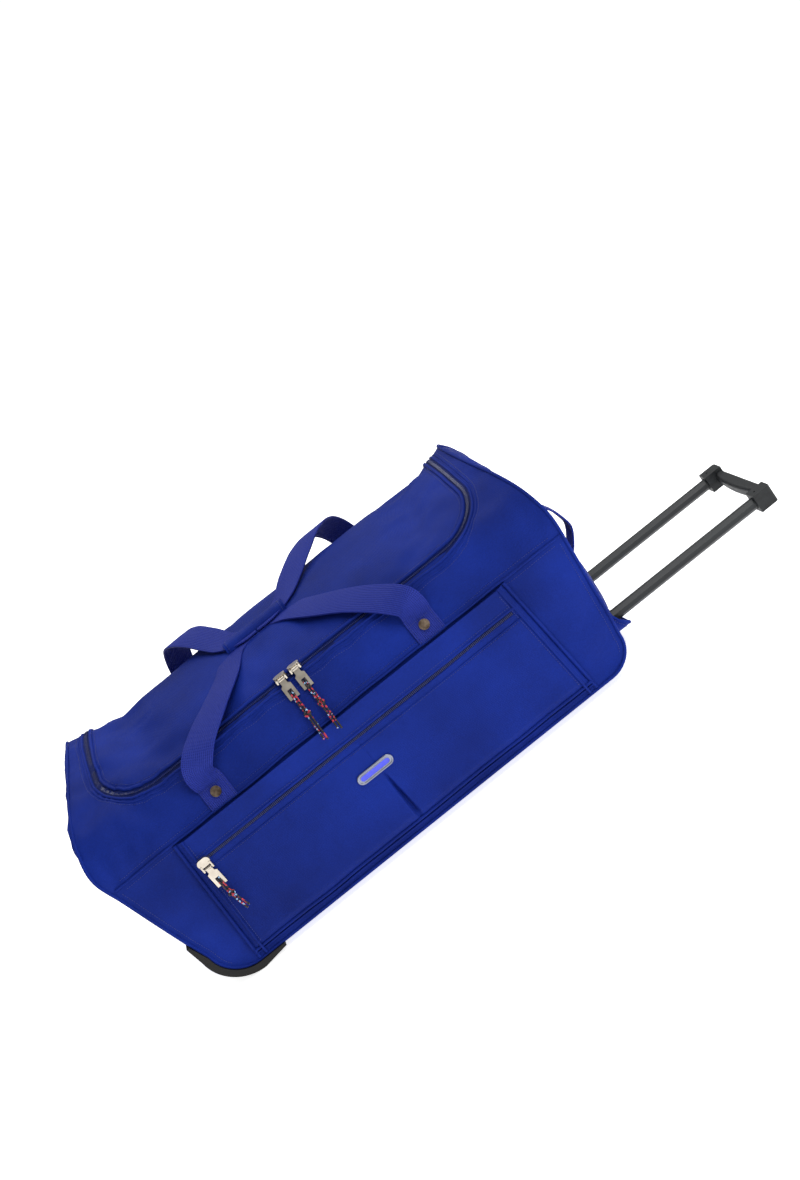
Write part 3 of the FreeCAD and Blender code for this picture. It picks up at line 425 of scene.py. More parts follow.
# The zip's U, the pocket, the handles' feet and the board in the bottom hold the cloth still too.
ARM = 290
BEND = 70
ZIP_FRONT = -118
LEFT_FOOT = -171
RIGHT_FOOT = 147
REAR_FOOT = 150
FOOT_HALF = 22


def u_distance(x, y):
    """How far a point in plan is outside the zip's U (negative inside)."""
    side = abs(x) - (ARM - BEND)
    ahead = (ZIP_FRONT + BEND) - y
    if side > 0 and ahead > 0:
        return math.hypot(side, ahead) - BEND
    return max(side, ahead) - BEND


sewn = shell.vertex_groups["sewn"]
for vertex in shell.data.vertices:
    x = (vertex.co.x - MIDDLE) / MM
    y = vertex.co.y / MM
    z = vertex.co.z / MM
    on_zip = z > 258 and y < 100 and abs(x) < 300 and abs(u_distance(x, y)) < 7
    under_pocket = y < FRONT + 1 and abs(x) < 262 and z > 20
    under_strap = min(abs(x - LEFT_FOOT), abs(x - RIGHT_FOOT)) < FOOT_HALF and y < -130 and z < 232
    under_rear_strap = abs(abs(x) - REAR_FOOT) < FOOT_HALF and y > 150 and 172 < z < 236
    if on_zip or under_pocket or under_strap or under_rear_strap or z < BASE + 1:
        sewn.add([vertex.index], 1, "REPLACE")


def blow_out(thing, pressure, spare, cap, steps=20):
    """Cloth filled from inside: spare is the extra cloth, cap the most a point may move, in mm."""
    before = [v.co.copy() for v in thing.data.vertices]
    cloth = thing.modifiers.new("cloth", "CLOTH")
    cloth.settings.quality = 5
    cloth.settings.mass = 0.25
    cloth.settings.tension_stiffness = 20
    cloth.settings.compression_stiffness = 12
    cloth.settings.shear_stiffness = 6
    cloth.settings.bending_stiffness = 0.35
    cloth.settings.use_pressure = True
    cloth.settings.uniform_pressure_force = pressure
    cloth.settings.effector_weights.gravity = 0
    cloth.settings.vertex_group_mass = "sewn"
    cloth.settings.pin_stiffness = 1
    cloth.settings.shrink_min = -spare
    cloth.collision_settings.use_collision = False
    cloth.point_cache.frame_start = 1
    cloth.point_cache.frame_end = steps
    for step in range(1, steps + 1):
        bpy.context.scene.frame_set(step)
    graph = bpy.context.evaluated_depsgraph_get()
    moved = [v.co.copy() for v in thing.evaluated_get(graph).data.vertices]
    thing.modifiers.remove(cloth)
    for vertex, start, end in zip(thing.data.vertices, before, moved):
        shift = end - start
        if shift.length > cap * MM:
            shift = shift.normalized() * cap * MM
        vertex.co = start + shift
    bpy.context.scene.frame_set(1)


blow_out(shell, 1.0, 0.012, 12)
calm = shell.modifiers.new("calm", "SMOOTH")
calm.vertex_group = "sewn"
calm.invert_vertex_group = True
calm.factor = 0.5
calm.iterations = 5
bpy.ops.object.select_all(action="DESELECT")
shell.select_set(True)
bpy.context.view_layer.objects.active = shell
bpy.ops.object.modifier_apply(modifier="calm")

# Soft creases: long shallow ones everywhere, deeper ones where the cloth turns at the wheel end,
# and small puckers beside the zip.
held = shell.vertex_groups["sewn"].index
loose = [v for v in shell.data.vertices if all(g.group != held for g in v.groups)]
for vertex in loose:
    p = vertex.co / MM
    x, y, z = p.x - MIDDLE / MM, p.y, p.z
    gentle = 1.1 * noise.noise(Vector((x * 0.012, y * 0.022, z * 0.026)))
    slanted = Vector((x * 0.016 + z * 0.030, y * 0.014, z * 0.012 - x * 0.036))
    ridge = 1 - 2 * abs(noise.noise(slanted))
    corner = max(min((-190 - x) / 90, 1), 0) * max(min((z - 196) / 20, 1), 0) * (1 if y < -60 else 0.5)
    end = max(min((-300 - x) / 20, 1), 0) * max(min((205 - z) / 20, 1), 0)
    near_zip = 0
    if z > 250 and abs(x) < 330 and y < 110:
        near_zip = math.exp(-((abs(u_distance(x, y)) - 22) / 15) ** 2)
    pucker = math.sin((x + 0.6 * y) * 0.13 + 3 * noise.noise(Vector((x * 0.01, y * 0.01, 7)))) * near_zip
    vertex.co += vertex.normal * (gentle + 4.6 * ridge * (corner + 0.2 * end) + 0.8 * pucker) * MM

# The cloth is cut away where the wheels and the pull-out handle come through.
bpy.ops.object.mode_set(mode="EDIT")
bpy.ops.mesh.select_mode(type="FACE")
bpy.ops.object.mode_set(mode="OBJECT")
for face in shell.data.polygons:
    x, y, z = (face.center.x - MIDDLE) / MM, face.center.y / MM, face.center.z / MM
    wheel_well = x < -236 and 104 < abs(y) < 140 and z < 66
    face.select = wheel_well or (x > 300 and abs(y) < 96 and 26 < z < 66)
bpy.ops.object.mode_set(mode="EDIT")
bpy.ops.mesh.delete(type="FACE")
bpy.ops.object.mode_set(mode="OBJECT")
bpy.ops.object.shade_smooth_by_angle(angle=math.radians(50))


def waves(tree, place, periods, **more):
    """Sine bands along X, Y or Z, one node for each period in millimetres, added together."""
    total = None
    for axis, period in periods:
        band = add_node(tree, "ShaderNodeTexWave", {"bands_direction": axis, "Distortion": 0.6,
                        "Scale": math.pi / 10 / (period * MM), **more}, {"Vector": (place, "Object")})
        if total is None:
            total = band
        else:
            total = add_node(tree, "ShaderNodeMath", {}, {0: total, 1: band})
    return total


def cloth_material(name, code, deep, thread, depth=0.00025):
    """Woven polyester: threads this many mm apart, a soft sheen, tiny slubs, and a faint broad mottle
    painted into the colour as uneven sheen.
    """
    material, tree, shader, place = new_material(name)
    # Painted sheen: this broad noise lightens and darkens the colour in soft patches to stand in for uneven
    # sheen. The fine slub noise mixed in with it is the yarn's own tone.
    painted_sheen_cloud = add_node(tree, "ShaderNodeTexNoise", {"Scale": 9, "Detail": 4}, {"Vector": (place, "Object")})
    slub = add_node(tree, "ShaderNodeTexNoise", {"Scale": 700, "Detail": 2}, {"Vector": (place, "Object")})
    both = add_node(tree, "ShaderNodeMath", {"operation": "MULTIPLY_ADD", 1: 0.45}, {0: slub, 2: painted_sheen_cloud})
    tone = add_node(tree, "ShaderNodeValToRGB", {}, {0: both})
    tone.color_ramp.elements[0].position = 0.45
    tone.color_ramp.elements[0].color = linear(deep)
    tone.color_ramp.elements[1].position = 1.0
    tone.color_ramp.elements[1].color = linear(code)
    tree.links.new(tone.outputs[0], shader.inputs["Base Color"])
    weave = waves(tree, place, (("X", thread), ("Y", thread), ("Z", thread)))
    grain = add_node(tree, "ShaderNodeBump", {"Strength": 0.5, "Distance": depth}, {"Height": weave})
    rough = add_node(tree, "ShaderNodeBump", {"Strength": 0.35, "Distance": depth * 2},
                     {"Height": slub, "Normal": grain})
    tree.links.new(rough.outputs[0], shader.inputs["Normal"])
    shader.inputs["Roughness"].default_value = 0.62
    shader.inputs["Specular IOR Level"].default_value = 0.08
    shader.inputs["Sheen Weight"].default_value = 0.02
    shader.inputs["Sheen Tint"].default_value = linear("#5a68e0")
    return material


polyester = cloth_material("royal_blue_polyester", "#132c8a", "#0c1d62", 1.3)
dress(shell, polyester)
SHELL_NODES = ("front_panel", "back_panel", "base_panel", "end_panel_wheel", "end_panel_handle",
               "upper_front_panel", "roof_back_panel", "shoulder_wheel", "shoulder_handle", "lid_panel")
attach(shell, "bag")
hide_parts(*SHELL_NODES)

# ---- end pipings and seams ----
# Both end panels are edged all round, ears and bottom corners too, with a 4 mm corded piping
# in the same cloth. The top is joined to the front and back with a narrow topstitched fold.
graph = bpy.context.evaluated_depsgraph_get()
skin = BVHTree.FromObject(shell, graph)


def as_mesh(thing):
    """The shape with its modifiers made into a plain mesh, alone in the selection."""
    bpy.ops.object.select_all(action="DESELECT")
    thing.select_set(True)
    bpy.context.view_layer.objects.active = thing
    bpy.ops.object.convert(target="MESH")
    return bpy.context.object


def joined(name, things):
    """Several meshes made one."""
    bpy.ops.object.select_all(action="DESELECT")
    for thing in things:
        thing.select_set(True)
    bpy.context.view_layer.objects.active = things[0]
    if len(things) > 1:
        bpy.ops.object.join()
    bpy.context.object.name = name
    bpy.context.object.data.name = name
    return bpy.context.object


def poly_line(name, points, radius, closed=False, sides=2):
    """A round bar along points, as a curve with a bevel."""
    data = bpy.data.curves.new(name, "CURVE")
    data.dimensions = "3D"
    spline = data.splines.new("POLY")
    spline.points.add(len(points) - 1)
    for point, spot in zip(spline.points, points):
        point.co = (*spot, 1)
    spline.use_cyclic_u = closed
    data.bevel_depth = radius * MM
    data.bevel_resolution = sides
    data.use_fill_caps = not closed
    line = bpy.data.objects.new(name, data)
    bpy.context.collection.objects.link(line)
    return line


def measured(points, closed=False):
    """The length of a line in metres."""
    ring = list(points) + ([points[0]] if closed else [])
    return sum((b - a).length for a, b in zip(ring, ring[1:]))


def chain(name, link, points, pitch, closed=False):
    """Copies of one link set along a line, pitch millimetres apart."""
    path = poly_line(name + "_path", points, 0, closed)
    path.data.twist_mode = "Z_UP"
    copies = link.modifiers.new("array", "ARRAY")
    copies.fit_type = "FIXED_COUNT"
    copies.count = max(int(measured(points, closed) / (pitch * MM)), 1)
    copies.use_relative_offset = False
    copies.use_constant_offset = True
    copies.constant_offset_displace = (pitch * MM, 0, 0)
    follow = link.modifiers.new("follow", "CURVE")
    follow.object = path
    follow.deform_axis = "POS_X"
    thing = as_mesh(link)
    thing.name = name
    bpy.data.objects.remove(path)
    return thing


def stitch():
    """One stitch of 0.7 mm thread, 2.6 mm long, lying along X from the origin."""
    bpy.ops.mesh.primitive_uv_sphere_add(segments=6, ring_count=4, radius=1)
    one = bpy.context.object
    one.data.transform(Matrix.LocRotScale((1.3 * MM, 0, 0), None, (1.3 * MM, 0.36 * MM, 0.36 * MM)))
    return one


def sew(points, closed=False):
    """A row of stitches 3.4 mm apart along a line."""
    return chain("stitches", stitch(), points, 3.4, closed)


def resampled(points, step):
    """The same line with its points this many mm apart."""
    out = [points[0]]
    left = step * MM
    for a, b in zip(points, points[1:]):
        span = (b - a).length
        gone = 0
        while span - gone > left:
            gone += left
            out.append(a.lerp(b, gone / span))
            left = step * MM
        left -= span - gone
    return out + [points[-1]]


def edge_line(side, wall):
    """One edge of an end panel, from its crest down to the middle of the bottom edge's corner."""
    count = 2 * RISE + WIDE
    rows = range(RISE + WIDE // 2, -1, -1) if wall < 0 else range(RISE + WIDE // 2, count + 1)
    line = []
    for row in rows:
        y, z = top_profile(row, True)
        line.append(at(end_x(side, z), y, z))
    depth = FRONT if wall < 0 else REAR
    start = SEAM if wall < 0 else REAR_SEAM
    for i in range(1, 61):
        height = BASE + (start - BASE) * (1 - i / 60) ** 1.6
        line.append(at(end_x(side, height), depth, height))
    return line


for wall in (-1, 1):
    word = "front" if wall < 0 else "back"
    line = resampled(edge_line(-1, wall) + list(reversed(edge_line(1, wall))), 6)
    bar = as_mesh(poly_line("edge", line, 2.3, sides=3))
    piping = joined("piping_%s_cord" % word, [bar])
    bpy.ops.object.shade_smooth()
    dress(piping, polyester)
    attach(piping, "bag")
    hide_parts("piping_" + word)


def onto_skin(spot, way, lift=0.2):
    """Where a ray from outside meets the cloth, lifted off it by this many mm."""
    hit = skin.ray_cast(spot - way * 80 * MM, way)
    return spot if hit[0] is None else hit[0] - way * lift * MM


DOWN = Vector((0, 0, -1))
INWARD = Vector((0, 1, 0))
rows = []
for side in (-1, 1):
    rows.append(sew([onto_skin(at(end_x(side, z) - side * 8, FRONT, z), INWARD) for z in range(32, 197, 3)]))
    rows.append(sew([onto_skin(at(end_x(side, z) - side * 8, REAR, z), -INWARD) for z in range(32, 212, 3)]))
low_corner = (end_x(-1, BASE) + 20, end_x(1, BASE) - 20)
for wall, depth in ((1, FRONT), (-1, REAR)):
    rows.append(sew([at(low_corner[0] + i * 4, depth - wall * 0.3, 23 if wall > 0 else 24)
                     for i in range(int((low_corner[1] - low_corner[0]) / 4))]))
folds = []
for wall, depth, height in ((1, FRONT, SEAM), (-1, REAR, REAR_SEAM)):
    line = []
    for i in range(171):
        x = -340 + i * 4
        kink = noise.noise(Vector((x * 0.02, wall * 3.1, 0.4))) * 1.6
        line.append(at(x, depth - wall * 0.4, height + 0.6 + kink))
    folds.append(as_mesh(poly_line("fold", line, 1.7)))
    for drop in (6.5, -7):
        rows.append(sew([onto_skin(spot + Vector((0, 0, drop * MM)), INWARD * wall) for spot in line[3:-3]]))
seams = joined("topstitched_folds", folds)
bpy.ops.object.shade_smooth()
dress(seams, polyester)
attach(seams, "bag")

thread_blue, tree, shader, place = new_material("bonded_polyester_thread")
twist = waves(tree, place, (("DIAGONAL", 0.9),))
tone = add_node(tree, "ShaderNodeValToRGB", {}, {0: twist})
tone.color_ramp.elements[0].color = linear("#101b54")
tone.color_ramp.elements[1].color = linear("#22338a")
tree.links.new(tone.outputs[0], shader.inputs["Base Color"])
shader.inputs["Roughness"].default_value = 0.45


def stitched(name, rows):
    """Rows of stitches made one piece, in the bag's thread."""
    stitching = joined(name, rows)
    dress(stitching, thread_blue)
    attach(stitching, "bag")


stitched("shell_stitching", rows)

# ---- main zip ----
# A nylon coil zip let into the top in a long U. The cloth either side is folded back into a
# rounded welt and stitched down, so the dark tape lies in a shallow channel.
ARM_END = 117


def u_line(offset, lift, step=4):
    """The zip's U at an offset outwards, laid on the cloth."""
    radius = BEND + offset
    plan = [(-ARM - offset, ARM_END), (-ARM - offset, ZIP_FRONT + BEND)]
    for i in range(1, 19):
        angle = math.pi + math.pi / 2 * i / 18
        plan.append((-ARM + BEND + radius * math.cos(angle), ZIP_FRONT + BEND + radius * math.sin(angle)))
    plan += [(-x, y) for x, y in reversed(plan)]
    flat = resampled([at(x, y, 0) for x, y in plan], step)
    return [onto_skin(Vector((p.x, p.y, 0.28)), DOWN, lift) for p in flat]


def ribbon(name, left, right, crown=0.0):
    """A flat strip between two lines with the same number of points."""
    bpy.ops.mesh.primitive_grid_add(x_subdivisions=len(left) - 1, y_subdivisions=4, size=1)
    strip = bpy.context.object
    strip.name = name
    for vertex in strip.data.vertices:
        i = round((vertex.co.x + 0.5) * (len(left) - 1))
        v = vertex.co.y + 0.5
        vertex.co = left[i].lerp(right[i], v) + Vector((0, 0, crown * MM * 4 * v * (1 - v)))
    return strip


def u_pair(inner, outer, lift):
    """Two U lines matched point for point."""
    a = u_line(inner, lift)
    b = u_line(outer, lift)
    count = min(len(a), len(b))

    def even(line):
        return [line[round(i * (len(line) - 1) / (count - 1))] for i in range(count)]

    return even(a), even(b)


welts = [as_mesh(poly_line("welt", u_line(offset, lift, 5), radius))
         for offset, lift, radius in ((6.2, 0.2, 2.0), (-6.2, 0.9, 2.5))]
welts.append(as_mesh(poly_line("welt", u_line(11.2, -0.2, 5), 1.1)))
welt = joined("zip_welts", welts)
bpy.ops.object.shade_smooth()
dress(welt, polyester)
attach(welt, "bag")

tape_cloth = cloth_material("navy_zip_tape", "#112060", "#0a1440", 0.9)
tape = ribbon("main_zip_tape", *u_pair(-5.4, 5.4, 0.5), 0.3)
dress(tape, tape_cloth)
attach(tape, "bag")
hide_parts("main_zip")


def coil_turn(width):
    """One turn of a nylon zip coil: two flattened loops that meet in the middle."""
    bpy.ops.mesh.primitive_cube_add(size=1)
    turn = bpy.context.object
    turn.data.transform(Matrix.LocRotScale(None, None, (1.3 * MM, width * MM, 1.3 * MM)))
    bpy.ops.object.modifier_add(type="BEVEL")
    turn.modifiers["Bevel"].width = 0.4 * MM
    turn.modifiers["Bevel"].segments = 1
    return as_mesh(turn)


coil_nylon, tree, shader, place = new_material("navy_nylon_zip_coil")
worn = add_node(tree, "ShaderNodeTexNoise", {"Scale": 260}, {"Vector": (place, "Object")})
tone = add_node(tree, "ShaderNodeValToRGB", {}, {0: worn})
tone.color_ramp.elements[0].color = linear("#0a1238")
tone.color_ramp.elements[1].color = linear("#17256a")
tree.links.new(tone.outputs[0], shader.inputs["Base Color"])
shader.inputs["Roughness"].default_value = 0.32
coil = chain("main_zip_coil", coil_turn(4.6), u_line(0, 1.3), 2.1)
dress(coil, coil_nylon)
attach(coil, "bag")

stitched("main_zip_stitching", [sew(u_line(offset, 0.15)) for offset in (-11.5, 14.5)])

# ---- front pocket ----
# A flat pocket of the same cloth stitched over the front: a zip runs across it under a folded
# flap, a pleat opens below the badge, and corded piping edges both sides and the bottom.
POCKET_TOP = 196.8
POCKET_LOW = 27
FACE = -165
PLEAT = -3
SLOT_LOW = 160
SLOT_TOP = 168.5


def pocket_half(z):
    """Half the pocket's width at a height."""
    return 249 + 14 * (POCKET_TOP - z) / (POCKET_TOP - POCKET_LOW)


def wavy_low(x):
    """The bottom edge is pulled up a little between the stitches' ends."""
    return POCKET_LOW + 1.6 * noise.noise(Vector((x * 0.016, 2.3, 0.1)))


def pocket_depth(x, z, low, high):
    """How far out the pocket cloth stands: sewn down at its edges, full in the middle."""
    edge = min(pocket_half(z) - abs(x), z - low if low < 100 else 99, 14)
    rise = math.sin(math.pi / 2 * max(edge, 0) / 14)
    full = 1.3 * math.sin(math.pi * (x + 256) / 512) * math.sin(math.pi * (z - low) / (high - low))
    crease = 0.6 * noise.noise(Vector((x * 0.011, z * 0.03, 1.7)))
    full = max(full, 0) * (1 if low < 100 else 0.3)
    return FRONT - 2.5 + (FACE - FRONT + 2.5) * rise - full - crease * rise


def pocket_cloth(name, low_edge, high_edge, rows_up):
    """One part of the pocket's front between two heights, its columns crowded at the pleat."""
    bpy.ops.mesh.primitive_grid_add(x_subdivisions=160, y_subdivisions=rows_up, size=1)
    cloth = bpy.context.object
    cloth.name = name
    for vertex in cloth.data.vertices:
        share = 2 * vertex.co.x
        v = vertex.co.y + 0.5
        low = low_edge(0) if callable(low_edge) else low_edge
        z = low + (high_edge - low) * v
        span = pocket_half(z) + (PLEAT if share < 0 else -PLEAT)
        x = PLEAT + math.copysign(abs(share) ** 1.35, share) * span
        if callable(low_edge):
            low = low_edge(x)
            z = low + (high_edge - low) * v
        y = pocket_depth(x, z, low, high_edge)
        if low < 100:
            opened = max(min((112 - z) / 30, 1), 0) * max(min((z - 27) / 14, 1), 0)
            off = x - PLEAT - 1.2 * (112 - z) / 80
            wide = 1.3 + 1.9 * min(max((112 - z) / 70, 0), 1)
            slit = math.exp(-(off / wide) ** 4) * 8 * opened
            lapped = 2.6 * opened * math.exp(-abs(off + 3) / 26) * (1 if off < 0 else 0)
            y += slit - lapped
            if z > 120:
                y += 0.7 * math.exp(-((x - PLEAT) / 0.9) ** 2)
        vertex.co = at(x, y, z)
    bpy.ops.object.shade_smooth()
    return cloth


lower = pocket_cloth("lower", wavy_low, SLOT_LOW, 56)
upper = pocket_cloth("upper", SLOT_TOP, POCKET_TOP + 2, 10)
patches = [lower, upper]
for side in (-1, 1):
    places = range(238, 253, 2) if side > 0 else range(-252, -237, 2)
    low, high = ([at(x, pocket_depth(x, z, POCKET_LOW, SLOT_LOW) - 0.3, z) for x in places]
                 for z in (SLOT_LOW - 0.5, SLOT_TOP + 0.5))
    patches.append(ribbon("zip_end", low, high))
pocket = joined("pocket_cloth", patches)
dress(pocket, polyester)
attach(pocket, "bag")
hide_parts("pocket_panel")


def across(z, y, reach=None, step=4, sag=0.0):
    """A line across the pocket at one height."""
    half = pocket_half(z) if reach is None else reach
    count = int(2 * half / step)
    return [at(-half + 2 * half * i / count, y, z + sag * noise.noise(Vector((i * 0.07, z * 0.1, 5.5))))
            for i in range(count + 1)]


lips = [as_mesh(poly_line("lip", across(z, y, 243, sag=0.8), radius))
        for z, y, radius in ((SLOT_LOW + 0.5, FACE + 1.1, 1.7), (SLOT_TOP, FACE + 0.9, 2.1),
                             (SLOT_LOW - 8, FACE - 0.3, 1.0))]
bars = []
for side in (-1, 1):
    for inset, y, radius in ((-2, FRONT - 3.2, 2.4), (8.5, FACE + 0.8, 1.7)):
        line = [at(side * (pocket_half(z) - inset), y if z > 34 else min(y + 0.35 * (34 - z), FRONT - 1), z)
                for z in range(15, 200, 4)]
        bars.append(as_mesh(poly_line("bar", line, radius)))
low_line = [at(x, FRONT - 3.2, wavy_low(x) - 0.5) for x in range(-265, 266, 5)]
bars.append(as_mesh(poly_line("bar", low_line, 2.4)))
bars.append(as_mesh(poly_line("bar", [spot + Vector((0, 1.6, -5.2)) * MM for spot in low_line], 1.5)))
pocket_edges = joined("pocket_piping_cord", bars + lips)
bpy.ops.object.shade_smooth()
dress(pocket_edges, polyester)
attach(pocket_edges, "bag")
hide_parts("pocket_piping")

pocket_tape = ribbon("pocket_zip_tape", across(SLOT_LOW - 1, FACE + 1.5, 241),
                     across(SLOT_TOP + 1, FACE + 1.5, 241))
dress(pocket_tape, tape_cloth)
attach(pocket_tape, "bag")
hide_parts("pocket_zip")
turn = coil_turn(4.6)
turn.data.transform(Matrix.Rotation(math.pi / 2, 4, "X"))
teeth = chain("pocket_zip_coil", turn, across(164, FACE + 0.6, 240), 2.1)
dress(teeth, coil_nylon)
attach(teeth, "bag")

rows = [sew(across(z, FACE - 0.4, 238)) for z in (SLOT_TOP + 4.5, SLOT_LOW - 9.5)]
for side in (-1, 1):
    rows.append(sew([at(side * (pocket_half(z) - 12.5), FACE - 0.35, z) for z in range(36, 195, 4)]))
stitched("pocket_stitching", rows)

# ---- badge ----
# A small oval badge pinned through the pocket above the pleat: a cast rim and a bright blue
# enamel field, left plain.
BADGE_X = -8
BADGE_Z = 118


def oval(length, height, y, count=16):
    """A slot-shaped outline standing in front of the pocket."""
    radius = height / 2
    reach = length / 2 - radius
    out = []
    for side in (1, -1):
        for i in range(count + 1):
            angle = side * (math.pi / 2) - math.pi * i / count
            out.append(at(BADGE_X + side * reach + radius * math.cos(angle), y,
                          BADGE_Z + radius * math.sin(angle)))
    return out


def plate(name, outline, thick):
    """A flat plate with this outline, growing towards the front."""
    bpy.ops.mesh.primitive_circle_add(vertices=len(outline), fill_type="NGON")
    face = bpy.context.object
    face.name = name
    for vertex, spot in zip(face.data.vertices, outline):
        vertex.co = spot
    if face.data.polygons[0].normal.y > 0:
        face.data.flip_normals()
    solid = face.modifiers.new("thickness", "SOLIDIFY")
    solid.thickness = thick * MM
    solid.offset = 1
    return as_mesh(face)


silver, tree, shader, place = new_material("satin_silver_rim")
scuff = add_node(tree, "ShaderNodeTexNoise", {"Scale": 420, "Detail": 5}, {"Vector": (place, "Object")})
rough = add_node(tree, "ShaderNodeMapRange", {"To Min": 0.22, "To Max": 0.45}, {"Value": scuff})
tree.links.new(rough.outputs[0], shader.inputs["Roughness"])
shader.inputs["Base Color"].default_value = linear("#8f93a3")
shader.inputs["Metallic"].default_value = 1
enamel, tree, shader, place = new_material("bright_blue_enamel")
speck = add_node(tree, "ShaderNodeTexNoise", {"Scale": 160}, {"Vector": (place, "Object")})
tone = add_node(tree, "ShaderNodeValToRGB", {}, {0: speck})
tone.color_ramp.elements[0].color = linear("#2430c8")
tone.color_ramp.elements[1].color = linear("#3444ee")
tree.links.new(tone.outputs[0], shader.inputs["Base Color"])
shader.inputs["Roughness"].default_value = 0.25
shader.inputs["Coat Weight"].default_value = 0.5
back_plate = plate("badge_plate", oval(50, 12.4, -165.8), 1.6)
rims = [as_mesh(poly_line("rim", oval(50, 12.4, -167.3), 1.25, True, 3)),
        as_mesh(poly_line("rim", oval(43.5, 7.6, -167.5), 0.5, True, 2))]
rim = joined("badge_rim", [back_plate] + rims)
dress(rim, silver)
field = plate("badge_field", oval(43.5, 7.6, -166.9), 0.8)
dress(field, enamel)
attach(rim, "bag")
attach(field, "bag")
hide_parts("badge")

# ---- carry handles ----
# Two loops of 38 mm ribbed webbing. Each foot is box-stitched to the body and riveted, and the
# four runs come together inside the padded wrap.
WEB = 38
WEB_THICK = 2.4


def webbing(name, route, width=WEB, step=5):
    """Webbing laid along route: each entry is its middle and the way its outer face looks."""
    middle = through([at(*p) for p, _ in route])
    shares = [0]
    for (a, _), (b, _) in zip(route, route[1:]):
        shares.append(shares[-1] + (at(*b) - at(*a)).length)
    facing = [Vector(n) for _, n in route]
    count = int(shares[-1] / MM / step)
    bpy.ops.mesh.primitive_grid_add(x_subdivisions=count, y_subdivisions=8, size=1)
    strip = bpy.context.object
    strip.name = name
    spots = [middle(i / count) for i in range(count + 1)]
    edges = []
    for i, spot in enumerate(spots):
        reach = shares[-1] * i / count
        j = 0
        while j < len(shares) - 2 and shares[j + 1] < reach:
            j += 1
        out = facing[j].lerp(facing[j + 1], (reach - shares[j]) / (shares[j + 1] - shares[j]))
        along = (spots[min(i + 1, count)] - spots[max(i - 1, 0)]).normalized()
        out = (out - along * out.dot(along)).normalized()
        edges.append((along.cross(out), out))
    layer = strip.data.uv_layers[0]
    for loop in strip.data.loops:
        uv = layer.data[loop.index].uv
        layer.data[loop.index].uv = (uv.x * shares[-1] / MM, uv.y * width)
    for vertex in strip.data.vertices:
        i = round((vertex.co.x + 0.5) * count)
        side, out = edges[i]
        off = vertex.co.y * width
        cup = 1.1 * (1 - (2 * vertex.co.y) ** 2) * math.sin(math.pi * i / count) ** 0.5
        vertex.co = spots[i] + (side * off + out * cup) * MM
    thickness = strip.modifiers.new("thickness", "SOLIDIFY")
    thickness.thickness = WEB_THICK * MM
    thickness.offset = 0
    rounded = strip.modifiers.new("rounded", "BEVEL")
    rounded.width = 0.8 * MM
    rounded.segments = 2
    rounded.limit_method = "ANGLE"
    thing = as_mesh(strip)
    bpy.ops.object.shade_smooth_by_angle(angle=math.radians(45))
    rows = []
    for share in (-0.5 * width + 2.6, 0.5 * width - 2.6):
        rows.append([spot + (side * share + out * (WEB_THICK / 2 + 0.25)) * MM
                     for spot, (side, out) in zip(spots, edges)])
    return thing, rows


web, tree, shader, web_place = new_material("ribbed_polypropylene_webbing")
ribs = add_node(tree, "ShaderNodeTexWave", {"bands_direction": "X", "Scale": math.pi / 10 / 1.7,
                "Distortion": 1.2, "Detail": 1, "Detail Scale": 2}, {"Vector": (web_place, "UV")})
warp = add_node(tree, "ShaderNodeTexWave", {"bands_direction": "Y", "Scale": math.pi / 10 / 2.4,
                "Distortion": 0.8}, {"Vector": (web_place, "UV")})
mixed = add_node(tree, "ShaderNodeMath", {}, {0: ribs, 1: warp})
fuzz = add_node(tree, "ShaderNodeTexNoise", {"Scale": 900}, {"Vector": (web_place, "Object")})
tall = add_node(tree, "ShaderNodeMath", {"operation": "MULTIPLY_ADD", 1: 0.5}, {0: fuzz, 2: mixed})
tone = add_node(tree, "ShaderNodeValToRGB", {}, {0: mixed})
tone.color_ramp.elements[0].position = 0.2
tone.color_ramp.elements[0].color = linear("#121c66")
tone.color_ramp.elements[1].color = linear("#22318e")
tree.links.new(tone.outputs[0], shader.inputs["Base Color"])
ridged = add_node(tree, "ShaderNodeBump", {"Strength": 0.8, "Distance": 0.0005}, {"Height": tall})
tree.links.new(ridged.outputs[0], shader.inputs["Normal"])
shader.inputs["Roughness"].default_value = 0.6
shader.inputs["Specular IOR Level"].default_value = 0.15

LEFT_FRONT = [((-171, -156.9, 199), (0, -1, 0.4)), ((-171, -149.4, 216.7), (0, -1, 0.4)),
              ((-171, -143.6, 229), (0, -1, 0.4)), ((-173, -149, 243), (0, -1, 0)),
              ((-168, -154, 258), (0.1, -1, 0.3)), ((-147, -140, 275), (0, -0.8, 1)),
              ((-113, -104, 287), (0, -0.4, 1)), ((-82, -56, 293), (0, -0.2, 1)),
              ((-63, -16, 298), (0, 0, 1)), ((-40, 1, 299), (0, 0, 1)), ((-21, 2, 299), (0, 0, 1))]
RIGHT_FRONT = [((147, -156.9, 199), (0, -1, 0.4)), ((147, -149.4, 216.7), (0, -1, 0.4)),
               ((147, -143.6, 229), (0, -1, 0.4)), ((148, -148, 240), (0, -1, 0)),
               ((145, -151, 256), (-0.1, -1, 0.4)), ((124, -129, 271), (0, -0.8, 1)),
               ((95, -98, 284), (0, -0.4, 1)), ((58, -60, 294), (0, -0.2, 1)),
               ((29, -22, 298), (0, 0, 1)), ((2, 1, 299), (0, 0, 1)), ((-19, 2, 299), (0, 0, 1))]
